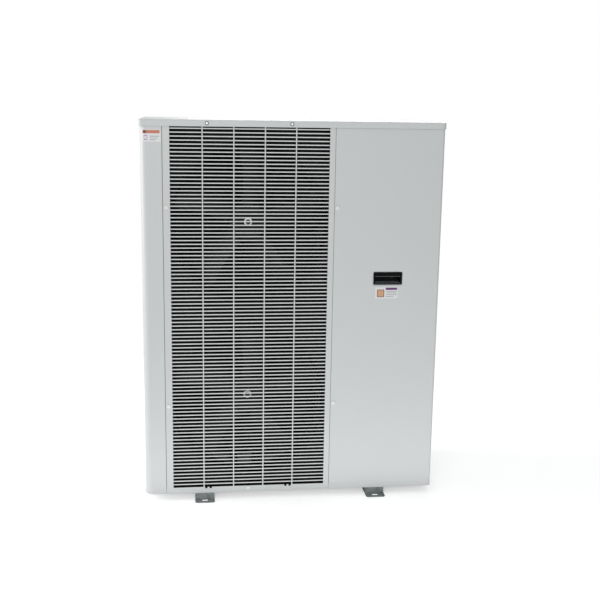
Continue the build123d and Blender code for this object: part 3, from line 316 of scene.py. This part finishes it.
guard_low, guard_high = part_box("wire_guard")
cross_low, cross_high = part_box("guard_cross_wires")
wire_count, wire_radius, wire_sides = 98, 0.0019, 14
cross_count, cross_radius = 4, 0.0018
weld_bite = 0.15 * cross_radius
bead_radius, bead_set = 1.25 * cross_radius, 0.6 * cross_radius
wire_pitch = (guard_high.z - guard_low.z) / wire_count
first_wire_z = guard_low.z + wire_pitch / 2
wire_y = (guard_high.y + guard_low.y) / 2
cross_y = wire_y - wire_radius - cross_radius + weld_bite
cross_first = cross_low.x + cross_radius
cross_pitch = (cross_high.x - cross_low.x - 2 * cross_radius) / (cross_count - 1)


def settle(piece, name):
    """Name a new piece and put its place into its mesh."""
    choose(piece)
    piece.name = name
    bpy.ops.object.transform_apply(location=True, rotation=True, scale=True)
    return piece


def repeat(piece, count, step):
    """Copy a piece's mesh along a line and keep the result as one mesh."""
    choose(piece)
    row = piece.modifiers.new("row", "ARRAY")
    row.count = count
    row.use_relative_offset = False
    row.use_constant_offset = True
    row.constant_offset_displace = step
    bpy.ops.object.modifier_apply(modifier="row")


def joined(pieces, name):
    """Join pieces into the first of them."""
    choose(pieces[0])
    for piece in pieces:
        piece.select_set(True)
    bpy.ops.object.join()
    pieces[0].name = name
    return pieces[0]


def plastic_dip():
    """Polyethylene, hot-dipped. The eye sees a soft gloss on each wire and a coat that sags
    into slow waves of 6 mm."""
    material, tree = new_material("light_grey_plastic_dip")
    point = add(tree, "ShaderNodeTexCoord").outputs["Object"]
    sag = add(tree, "ShaderNodeTexNoise", {"Vector": point, "Scale": scale_for(6.0),
                                           "Detail": 1.0})
    relief = add(tree, "ShaderNodeBump", {"Height": sag.outputs["Fac"], "Strength": 0.2,
                                          "Distance": 0.0003})
    shader = add(tree, "ShaderNodeBsdfPrincipled", {"Base Color": srgb("DEE0E0"), "IOR": 1.5,
                                                    "Roughness": 0.33,
                                                    "Normal": relief.outputs[0]})
    add(tree, "ShaderNodeOutputMaterial", {"Surface": shader.outputs[0]})
    return material


wire_dip = plastic_dip()
bpy.ops.mesh.primitive_cylinder_add(
    vertices=wire_sides, radius=wire_radius, depth=guard_high.x - guard_low.x,
    location=((guard_low.x + guard_high.x) / 2, wire_y, first_wire_z),
    rotation=(0, math.pi / 2, 0))
level_wires = settle(bpy.context.object, "level_wires")
repeat(level_wires, wire_count, (0, 0, wire_pitch))
rails = []
for rail_x in (guard_low.x + wire_radius, guard_high.x - wire_radius):
    bpy.ops.mesh.primitive_cylinder_add(
        vertices=wire_sides, radius=wire_radius, depth=guard_high.z - guard_low.z,
        location=(rail_x, wire_y, (guard_low.z + guard_high.z) / 2))
    rails.append(settle(bpy.context.object, "guard_rail"))
round_guard = joined([level_wires, *rails], "round_wire_guard")
smooth(40)
place(round_guard, wire_dip, "wire_guard")
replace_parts(round_guard, "wire_guard")

bpy.ops.mesh.primitive_cylinder_add(
    vertices=wire_sides, radius=cross_radius, depth=cross_high.z - cross_low.z,
    location=(cross_first, cross_y, (cross_low.z + cross_high.z) / 2))
upright_wires = settle(bpy.context.object, "upright_wires")
repeat(upright_wires, cross_count, (cross_pitch, 0, 0))
bpy.ops.mesh.primitive_uv_sphere_add(
    segments=8, ring_count=6, radius=bead_radius,
    location=(cross_first, cross_y + bead_set, first_wire_z))
welds = settle(bpy.context.object, "weld_beads")
repeat(welds, cross_count, (cross_pitch, 0, 0))
repeat(welds, wire_count, (0, 0, wire_pitch))
round_cross = joined([upright_wires, welds], "round_cross_wires")
smooth(40)
place(round_cross, wire_dip, "guard_cross_wires")
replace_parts(round_cross, "guard_cross_wires")

# The bar guards over the coil, at the rear and the left, are dipped in the same way.
finished("coil_guards", wire_dip, edge=0.0006)

# ---- Screws ------------------------------------------------------------------
# Plated pan-head screws with a cross recess. Grey coated caps are pressed over those of
# the front panels; two screws on sealing washers hold the lid's front lip.

def solids_of(node):
    """Lowest and highest corner of each separate solid of a CAD node."""
    mesh = bmesh.new()
    mesh.from_mesh(cad_nodes[node].data)
    bmesh.ops.remove_doubles(mesh, verts=mesh.verts, dist=same_point)
    waiting, found = set(mesh.verts), []
    while waiting:
        reached = [waiting.pop()]
        group = []
        while reached:
            vertex = reached.pop()
            group.append(vertex.co.copy())
            near = {edge.other_vert(vertex) for edge in vertex.link_edges} & waiting
            waiting -= near
            reached.extend(near)
        found.append((Vector(map(min, zip(*group))), Vector(map(max, zip(*group)))))
    mesh.free()
    return found


def plated_steel():
    """Turned steel, bright zinc plated. The eye sees small sharp glints with a slight grain;
    its marks, 0.1 mm in the real screw, are drawn at 1.1 mm so that they show."""
    material, tree = new_material("zinc_plated_steel")
    point = add(tree, "ShaderNodeTexCoord").outputs["Object"]
    grain = add(tree, "ShaderNodeTexNoise", {"Vector": point, "Scale": scale_for(1.1),
                                             "Detail": 2.0})
    dull = add(tree, "ShaderNodeMapRange", {"Value": grain.outputs["Fac"], "To Min": 0.24,
                                            "To Max": 0.38})
    shader = add(tree, "ShaderNodeBsdfPrincipled", {"Base Color": srgb("D2D4D6"), "Metallic": 1.0,
                                                    "Roughness": dull.outputs["Result"]})
    add(tree, "ShaderNodeOutputMaterial", {"Surface": shader.outputs[0]})
    return material


def rubber(name, code, roughness):
    """Moulded vulcanised rubber. The eye sees a dull dark skin with a paler bloom in
    patches of 14 mm."""
    material, tree = new_material(name)
    point = add(tree, "ShaderNodeTexCoord").outputs["Object"]
    bloom = add(tree, "ShaderNodeTexNoise", {"Vector": point, "Scale": scale_for(14.0),
                                             "Detail": 4.0})
    pale = add(tree, "ShaderNodeMapRange", {"Value": bloom.outputs["Fac"], "From Min": 0.4,
                                            "From Max": 0.8, "To Min": 1.0, "To Max": 1.5})
    tone = add(tree, "ShaderNodeHueSaturation", {"Color": srgb(code),
                                                 "Value": pale.outputs["Result"]})
    shader = add(tree, "ShaderNodeBsdfPrincipled", {"Base Color": tone.outputs[0], "IOR": 1.52,
                                                    "Roughness": roughness})
    add(tree, "ShaderNodeOutputMaterial", {"Surface": shader.outputs[0]})
    return material


plated = plated_steel()
head_radius, head_height = 0.0046, 0.0024
recess_span, recess_depth, recess_width = 1.05 * head_radius, 1.1 * head_height, 0.26 * head_radius
shank_radius, shank_length = 0.002, 0.0118
cap_radius, cap_height = 0.0072, 0.005
washer_radius, washer_thickness = 0.0062, 0.001
lip_screw_pitch = 0.275


def dome(radius, height, name):
    """Half of a flattened ball facing -Y, its flat back on the origin."""
    bpy.ops.mesh.primitive_uv_sphere_add(segments=20, ring_count=12, radius=radius)
    half = bpy.context.object
    half.scale = (1, height / radius, 1)
    settle(half, name)
    bpy.ops.object.mode_set(mode="EDIT")
    bpy.ops.mesh.select_all(action="SELECT")
    bpy.ops.mesh.bisect(plane_co=(0, 0, 0), plane_no=(0, 1, 0), use_fill=True, clear_outer=True)
    bpy.ops.object.mode_set(mode="OBJECT")
    smooth(40)
    return half


def pan_head():
    """Domed head facing -Y with a cross recess, its seat on the origin."""
    head = dome(head_radius, head_height, "pan_head")
    arms = []
    for turn in (0, math.pi / 2):
        bpy.ops.mesh.primitive_cube_add(size=1, location=(0, -head_height, 0), rotation=(0, turn, 0))
        bpy.context.object.scale = (recess_span, recess_depth, recess_width)
        arms.append(settle(bpy.context.object, "recess"))
    for arm in arms:
        choose(head)
        cut = head.modifiers.new("cut", "BOOLEAN")
        cut.operation, cut.object, cut.solver = "DIFFERENCE", arm, "EXACT"
        bpy.ops.object.modifier_apply(modifier="cut")
        bpy.data.objects.remove(arm)
    bpy.ops.mesh.primitive_cylinder_add(
        vertices=12, radius=shank_radius, depth=shank_length, location=(0, shank_length / 2, 0),
        rotation=(math.pi / 2, 0, 0))
    shank = settle(bpy.context.object, "shank")
    head = joined([head, shank], "pan_head")
    smooth(35)
    return head


def row_of(model, seats, name, material, node):
    """Copies of a model at their seats as one piece that rides with a node's body."""
    made = []
    for seat in seats:
        copy = bpy.data.objects.new(name, model.data.copy())
        copy.data.transform(Matrix.Translation(seat))
        scene.collection.objects.link(copy)
        made.append(copy)
    piece = joined(made, name)
    place(piece, material, node)
    return piece


screw_model = pan_head()
cap_model = dome(cap_radius, cap_height, "cap")
cap_coat = powder_coat("light_grey_cap", "E2E4E4", roughness=0.3)
for node in ("panel_screws", "service_screws"):
    seats = [Vector(((low.x + high.x) / 2, low.y + head_height, (low.z + high.z) / 2))
             for low, high in solids_of(node)]
    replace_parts(row_of(screw_model, seats, node + "_finished", plated, node), node)
    # The screws of the control box cover lie deep inside and have no caps.
    front_seat = min(seat.y for seat in seats)
    front_seats = [seat for seat in seats if seat.y < front_seat + cap_height]
    row_of(cap_model, front_seats, node + "_caps", cap_coat, node)

# The lid's two screws stand evenly to either side of the one in the bottom strip.
lid_low, lid_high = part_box("lid")
lowest_screw = min(solids_of("panel_screws"), key=lambda corners: corners[0].z)
lip_middle = (lowest_screw[0].x + lowest_screw[1].x) / 2
lip_seats = [Vector((lip_middle + side * lip_screw_pitch / 2, lid_low.y - washer_thickness,
                     (lid_low.z + lid_high.z) / 2)) for side in (-1, 1)]
row_of(screw_model, lip_seats, "lid_lip_screws", plated, "panel_screws")
bpy.ops.mesh.primitive_cylinder_add(vertices=28, radius=washer_radius, depth=washer_thickness,
                                    location=(0, washer_thickness / 2, 0),
                                    rotation=(math.pi / 2, 0, 0))
washer_model = settle(bpy.context.object, "washer")
smooth(40)
sealing_rubber = rubber("black_sealing_rubber", "1B1C1C", 0.7)
row_of(washer_model, lip_seats, "lid_lip_washers", sealing_rubber, "panel_screws")
for model in (screw_model, cap_model, washer_model):
    bpy.data.objects.remove(model)

# ---- Recessed handle ---------------------------------------------------------
# Black polypropylene moulding with a fine spark-eroded grain, clipped into the
# dished opening of the service panel. The long edges of its mouth are painted pale grey as highlight
# lines.

def moulded(name, code, roughness, grain=0.6, sheen=0.5):
    """Injection-moulded plastic. The eye sees a skin dulled by the mould's spark-eroded
    grain, in millimetres and drawn coarser than the real 0.1 mm, and clouded over 40 mm."""
    material, tree = new_material(name)
    point = add(tree, "ShaderNodeTexCoord").outputs["Object"]
    pits = add(tree, "ShaderNodeTexNoise", {"Vector": point, "Scale": scale_for(grain),
                                            "Detail": 2.0})
    cloud = add(tree, "ShaderNodeTexNoise", {"Vector": point, "Scale": scale_for(40.0),
                                             "Detail": 2.0})
    dull = add(tree, "ShaderNodeMapRange", {"Value": cloud.outputs["Fac"],
                                            "To Min": roughness - 0.06, "To Max": roughness + 0.06})
    relief = add(tree, "ShaderNodeBump", {"Height": pits.outputs["Fac"], "Strength": 0.25,
                                          "Distance": 0.0001})
    shader = add(tree, "ShaderNodeBsdfPrincipled", {"Base Color": srgb(code), "IOR": 1.49,
                                                    "Specular IOR Level": sheen,
                                                    "Roughness": dull.outputs["Result"],
                                                    "Normal": relief.outputs[0]})
    add(tree, "ShaderNodeOutputMaterial", {"Surface": shader.outputs[0]})
    return material


black_moulding = moulded("black_polypropylene", "0B0C0D", 0.33, sheen=0.06)
grip = finished("recessed_handle", black_moulding, edge=0.0011)
# The second, pale grey finish is a painted highlight: two lines where the mouth's edges would catch
# the lamps.
grip.data.materials.append(moulded("polypropylene_painted_highlight", "94999B", 0.2, sheen=0.6))
handle_low, handle_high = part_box("recessed_handle")
rim_width, slant = 0.004, 0.2
# The slanted faces along the mouth's long edges get the painted highlight.
for face in grip.data.polygons:
    faces_out = face.normal.y < -slant and abs(face.normal.x) < slant
    at_mouth = handle_low.z + rim_width < face.center.z < handle_high.z - rim_width
    face.material_index = int(faces_out and abs(face.normal.z) > slant and at_mouth)

# ---- Labels ------------------------------------------------------------------
# Two wordless vinyl labels with plain printed fields: one on the corner post, which
# follows its round corner, and one on the service panel below the handle.

vinyl_white, print_grey = "D9DBDC", "9A9EA0"
vinyl_lift = 0.00012


def label(name, node, x, z, skin, fields):
    """Glossy printed vinyl laid on a panel's front between two x and two z. The fields are
    (left, right, bottom, top, colour), as shares of the label's width and height."""
    width, height = x[1] - x[0], z[1] - z[0]
    bpy.ops.mesh.primitive_grid_add(
        x_subdivisions=28, y_subdivisions=8, size=1,
        location=((x[0] + x[1]) / 2, cad_low.y, (z[0] + z[1]) / 2), rotation=(math.pi / 2, 0, 0))
    sheet = bpy.context.object
    sheet.scale = (width, height, 1)
    settle(sheet, name)
    lay = sheet.modifiers.new("lay", "SHRINKWRAP")
    lay.target, lay.wrap_method = skin, "PROJECT"
    lay.use_project_y, lay.use_positive_direction, lay.use_negative_direction = True, True, False
    lay.offset = vinyl_lift
    bpy.ops.object.modifier_apply(modifier="lay")
    material, tree = new_material(name + "_vinyl")
    point = add(tree, "ShaderNodeTexCoord").outputs["Object"]
    axes = add(tree, "ShaderNodeSeparateXYZ", {0: point})
    ground = add(tree, "ShaderNodeRGB")
    ground.outputs[0].default_value = srgb(vinyl_white)
    colour = ground.outputs[0]
    for left, right, bottom, top, code in fields:
        across = add(tree, "ShaderNodeMath", {0: axes.outputs["X"],
                                              1: x[0] + width * (left + right) / 2,
                                              2: width * (right - left) / 2}, operation="COMPARE")
        upright = add(tree, "ShaderNodeMath", {0: axes.outputs["Z"],
                                               1: z[0] + height * (bottom + top) / 2,
                                               2: height * (top - bottom) / 2}, operation="COMPARE")
        inside = add(tree, "ShaderNodeMath", {0: across.outputs[0], 1: upright.outputs[0]},
                     operation="MULTIPLY")
        colour = add(tree, "ShaderNodeMix", {"Factor": inside.outputs[0], "A": colour,
                                             "B": srgb(code)}, data_type="RGBA").outputs["Result"]
    shader = add(tree, "ShaderNodeBsdfPrincipled", {"Base Color": colour, "Roughness": 0.3,
                                                    "IOR": 1.5})
    add(tree, "ShaderNodeOutputMaterial", {"Surface": shader.outputs[0]})
    bpy.ops.object.shade_smooth()
    place(sheet, material, node)


label_height = 0.039
post_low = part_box("front_left_post")[0]
post_label_left, post_label_width, post_label_drop = post_low.x + 0.008, 0.060, 0.011
post_label_top = lid_low.z - post_label_drop
label("post_label", "front_left_post", (post_label_left, post_label_left + post_label_width),
      (post_label_top - label_height, post_label_top),
      bpy.data.objects["front_left_post_finished"],
      [(0.04, 0.94, 0.68, 0.95, "B9694A"), (0.08, 0.22, 0.71, 0.92, "5C3A34"),
       (0.10, 0.28, 0.14, 0.55, "A982B2"), (0.13, 0.25, 0.21, 0.48, vinyl_white),
       (0.42, 0.92, 0.42, 0.49, print_grey), (0.42, 0.84, 0.27, 0.33, print_grey),
       (0.42, 0.72, 0.13, 0.19, print_grey)])
left_inset, right_inset, handle_gap = 0.007, 0.014, 0.0085
panel_label_top = handle_low.z - handle_gap
label("panel_label", "service_panel", (handle_low.x + left_inset, handle_high.x - right_inset),
      (panel_label_top - label_height, panel_label_top),
      bpy.data.objects["service_panel_finished"],
      [(0.08, 0.40, 0.12, 0.80, "6B5145"), (0.11, 0.37, 0.18, 0.74, "C99A78"),
       (0.46, 0.97, 0.76, 0.96, "5E2A66"), (0.48, 0.95, 0.60, 0.66, print_grey),
       (0.48, 0.95, 0.46, 0.51, print_grey), (0.48, 0.95, 0.31, 0.36, print_grey),
       (0.48, 0.82, 0.16, 0.21, print_grey)])

# ---- Shroud, rings and motor frame -------------------------------------------
# Coated sheet in matt black: the shroud plate with its two rolled rings, and the
# rails and plates that carry the motors.

def enamel(name, code, roughness, peel=2.0, sheen=0.5):
    """Thin finish on metal: sprayed or dipped paint, or chemical blacking. The eye sees a
    skin with a peel of so many millimetres, and a gloss that dust dulls in drifts of 110 mm."""
    material, tree = new_material(name)
    point = add(tree, "ShaderNodeTexCoord").outputs["Object"]
    skin = add(tree, "ShaderNodeTexNoise", {"Vector": point, "Scale": scale_for(peel),
                                            "Detail": 1.0})
    dust = add(tree, "ShaderNodeTexNoise", {"Vector": point, "Scale": scale_for(110.0),
                                            "Detail": 5.0})
    dull = add(tree, "ShaderNodeMapRange", {"Value": dust.outputs["Fac"],
                                            "To Min": roughness - 0.08, "To Max": roughness + 0.08})
    relief = add(tree, "ShaderNodeBump", {"Height": skin.outputs["Fac"], "Strength": 0.15,
                                          "Distance": 0.0002})
    shader = add(tree, "ShaderNodeBsdfPrincipled", {"Base Color": srgb(code), "IOR": 1.5,
                                                    "Specular IOR Level": sheen,
                                                    "Roughness": dull.outputs["Result"],
                                                    "Normal": relief.outputs[0]})
    add(tree, "ShaderNodeOutputMaterial", {"Surface": shader.outputs[0]})
    return material


matt_black = enamel("matt_black_coat", "0A0B0B", 0.7, sheen=0.12)
for sheet_part in ("fan_shroud", "fan_rings", "motor_rails", "motor_plates"):
    finished(sheet_part, matt_black, edge=0.0002, turn=40)

# ---- Fans --------------------------------------------------------------------
# Glass-filled polyamide in one moulding, its skin a little rough from the fibres. The
# hub turns on a blackened shaft and is held by a blackened nut on a wide plated washer.

fan_polyamide = moulded("glass_filled_polyamide", "0E0F10", 0.5, grain=1.2, sheen=0.22)
motor_enamel = enamel("black_motor_enamel", "0E0F10", 0.5, sheen=0.2)
black_oxide = enamel("black_oxide_steel", "1B1C1D", 0.35, peel=0.8, sheen=0.6)
hub_washer_thickness, clear_of_washer = 0.002, 0.0001
for level in ("lower", "upper"):
    finished(level + "_fan", fan_polyamide, edge=0.0006, turn=34)
    finished(level + "_fan_shaft", black_oxide, edge=0.0004)
    nut = finished(level + "_fan_nut", plated, edge=0.0005)
    nut.data.materials.append(black_oxide)
    washer_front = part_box(level + "_fan_nut")[1].y - hub_washer_thickness
    for face in nut.data.polygons:
        face.material_index = int(face.center.y < washer_front - clear_of_washer)
    finished(level + "_fan_motor", motor_enamel, edge=0.0008)

# ---- Condenser coil ----------------------------------------------------------
# Aluminium fins at a two-millimetre pitch with a dark corrosion coat, on rows of
# tubes. The fins stand across the run: along X at the rear, along Y at the left.

def fin_pack(name, pitch):
    """Aluminium fins in a dark epoxy coat, at a pitch in millimetres. The eye sees thin slightly
    paler edges with black between them, painted shade in the gaps, along X at the rear and Y at the
    left."""
    material, tree = new_material(name)
    point = add(tree, "ShaderNodeTexCoord").outputs["Object"]
    normal = add(tree, "ShaderNodeNewGeometry").outputs["Normal"]
    facing = add(tree, "ShaderNodeSeparateXYZ", {0: normal})
    sideways = add(tree, "ShaderNodeMath", {0: facing.outputs["X"]}, operation="ABSOLUTE")
    is_left_run = add(tree, "ShaderNodeMath", {0: sideways.outputs[0], 1: 0.7},
                      operation="GREATER_THAN")
    # A wave texture repeats every pi / 10 units at a scale of one.
    wave_scale = math.pi / 10 * scale_for(pitch)
    rear_fins = add(tree, "ShaderNodeTexWave", {"Vector": point, "Scale": wave_scale},
                    bands_direction="X")
    left_fins = add(tree, "ShaderNodeTexWave", {"Vector": point, "Scale": wave_scale},
                    bands_direction="Y")
    fins = add(tree, "ShaderNodeMix", {"Factor": is_left_run.outputs[0],
                                       "A": rear_fins.outputs["Fac"],
                                       "B": left_fins.outputs["Fac"]})
    edges = add(tree, "ShaderNodeMapRange", {"Value": fins.outputs["Result"], "From Min": 0.55,
                                             "From Max": 0.95})
    # The near black between the fin edges is painted shade in the gaps; the paler grey is the fins'
    # coat.
    tone = add(tree, "ShaderNodeMix", {"Factor": edges.outputs["Result"], "A": srgb("050606"),
                                       "B": srgb("23282A")}, data_type="RGBA")
    relief = add(tree, "ShaderNodeBump", {"Height": edges.outputs["Result"], "Strength": 0.5,
                                          "Distance": 0.0008})
    shader = add(tree, "ShaderNodeBsdfPrincipled", {"Base Color": tone.outputs["Result"],
                                                    "Roughness": 0.6,
                                                    "Specular IOR Level": 0.2,
                                                    "Normal": relief.outputs[0]})
    add(tree, "ShaderNodeOutputMaterial", {"Surface": shader.outputs[0]})
    return material


def drawn_metal(name, code, roughness, stain=0.0, stain_code="000000"):
    """Bare metal, drawn, forged or spun. The eye sees fine upright lines, 0.1 mm on the real
    piece and drawn at 1.4 mm so that they show, and a tarnish in clouds of 36 mm."""
    lengthen = (1.0, 1.0, 0.08)
    material, tree = new_material(name)
    point = add(tree, "ShaderNodeTexCoord").outputs["Object"]
    stretch = add(tree, "ShaderNodeMapping", {"Vector": point, "Scale": lengthen})
    grain = add(tree, "ShaderNodeTexNoise", {"Vector": stretch.outputs[0],
                                             "Scale": scale_for(1.4), "Detail": 2.0})
    cloud = add(tree, "ShaderNodeTexNoise", {"Vector": point, "Scale": scale_for(36.0),
                                             "Detail": 4.0})
    worn = add(tree, "ShaderNodeMapRange", {"Value": cloud.outputs["Fac"], "From Min": 0.45,
                                            "From Max": 0.75, "To Max": stain})
    tone = add(tree, "ShaderNodeMix", {"Factor": worn.outputs["Result"], "A": srgb(code),
                                       "B": srgb(stain_code)}, data_type="RGBA")
    dull = add(tree, "ShaderNodeMapRange", {"Value": grain.outputs["Fac"],
                                            "To Min": roughness - 0.07, "To Max": roughness + 0.07})
    shader = add(tree, "ShaderNodeBsdfPrincipled", {"Base Color": tone.outputs["Result"],
                                                    "Metallic": 1.0,
                                                    "Roughness": dull.outputs["Result"]})
    add(tree, "ShaderNodeOutputMaterial", {"Surface": shader.outputs[0]})
    return material


finished("condenser_coil", fin_pack("coated_coil_fins_gap_shade", pitch=2.0), turn=20)
finished("coil_headers", drawn_metal("drawn_aluminium", "B9BCBE", 0.34), edge=0.001)

# ---- Compressor and receiver -------------------------------------------------
# Drawn steel shells in black enamel. The compressor stands on four waisted rubber
# mounts with plated bolts, wears a silicone belt heater and has a wiring box.

shell_enamel = enamel("black_shell_enamel", "16181A", 0.34)
black_rubber = rubber("black_rubber", "161616", 0.75)
finished("compressor", shell_enamel, edge=0.0008)
finished("compressor_grommets", black_rubber, edge=0.001)
finished("compressor_bolts", plated, edge=0.0004)
finished("crankcase_heater", rubber("red_brown_silicone", "7C3A2C", 0.55), edge=0.0008)
finished("compressor_terminal_box", black_moulding, edge=0.0012)
finished("liquid_receiver", shell_enamel, edge=0.0008)
finished("receiver_clamp", zinc, edge=0.0003)

# ---- Refrigerant line --------------------------------------------------------
# Soft copper tube with drawn bends, forged brass valves with hexagon caps, a
# green drier and a sight glass. Copper and brass are a little tarnished.

copper = drawn_metal("soft_copper_tube", "C88A68", 0.3, stain=0.5, stain_code="8A5A44")
brass = drawn_metal("forged_brass", "C4A768", 0.32, stain=0.35, stain_code="8C7440")
for pipe in ("suction_pipe", "discharge_pipe", "condensate_pipe", "liquid_pipe"):
    finished(pipe, copper, turn=60)
for fitting in ("suction_valve", "liquid_valve", "valve_caps", "sight_glass"):
    finished(fitting, brass, edge=0.0006)
finished("filter_drier", enamel("green_drier_enamel", "33604B", 0.32), edge=0.001)
finished("valve_bracket", zinc, edge=0.0003)
finished("panel_grommets", black_rubber, edge=0.0005)


def clear_glass(name):
    """Pressed clear glass. The eye sees through it, with a faint green cast at its edge."""
    material, tree = new_material(name)
    layer = add(tree, "ShaderNodeLayerWeight", {"Blend": 0.3})
    tone = add(tree, "ShaderNodeMix", {"Factor": layer.outputs["Facing"], "A": srgb("F2FAF7"),
                                       "B": srgb("C4DCD2")}, data_type="RGBA")
    shader = add(tree, "ShaderNodeBsdfPrincipled", {"Base Color": tone.outputs["Result"],
                                                    "IOR": 1.52, "Roughness": 0.02,
                                                    "Transmission Weight": 1.0})
    add(tree, "ShaderNodeOutputMaterial", {"Surface": shader.outputs[0]})
    return material


finished("sight_glass_window", clear_glass("sight_glass"), edge=0.0003)

# ---- Electrical box ----------------------------------------------------------
# A zinc-coated box and cover round moulded devices on rails: breaker with its
# toggle, controller, contactor, capacitor, terminals, and the pressure control.

pale_moulding = moulded("light_grey_polyamide", "C5C7C4", 0.44)
for box_part in ("control_box", "control_box_cover"):
    finished(box_part, zinc, edge=0.0002)
for device in ("circuit_breaker", "contactor", "terminal_block", "pressure_switch"):
    finished(device, pale_moulding, edge=0.0007)
controller = finished("controller", black_moulding, edge=0.0007)
controller.data.materials.append(moulded("smoked_red_window", "2A0A0A", 0.12, grain=4.0))
controller_low, controller_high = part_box("controller")
window_sink = 0.0004
for face in controller.data.polygons:
    faces_front = face.normal.y < -0.9
    sunk = face.center.y > controller_low.y + window_sink
    face.material_index = int(faces_front and sunk)

# Four keys of moulded rubber stand in a row below the controller's window.
key_count, key_pitch, key_rise = 4, 0.014, 0.014
key_size, key_edge = (0.009, 0.0024, 0.005), 0.0006
first_key_x = (controller_low.x + controller_high.x - (key_count - 1) * key_pitch) / 2
bpy.ops.mesh.primitive_cube_add(size=1, location=(first_key_x, controller_low.y,
                                                  controller_low.z + key_rise))
bpy.context.object.scale = key_size
keys = settle(bpy.context.object, "controller_keys")
repeat(keys, key_count, (key_pitch, 0, 0))
soften = keys.modifiers.new("soften", "BEVEL")
soften.width, soften.segments = key_edge, 2
bpy.ops.object.modifier_apply(modifier="soften")
smooth(40)
place(keys, rubber("grey_key_rubber", "6F7375", 0.6), "controller")

finished("breaker_toggle", black_moulding, edge=0.0006)
finished("run_capacitor", drawn_metal("spun_aluminium_can", "C2C4C6", 0.3), edge=0.0006)
finished("reset_button", moulded("red_button_plastic", "A4241C", 0.28), edge=0.0008)
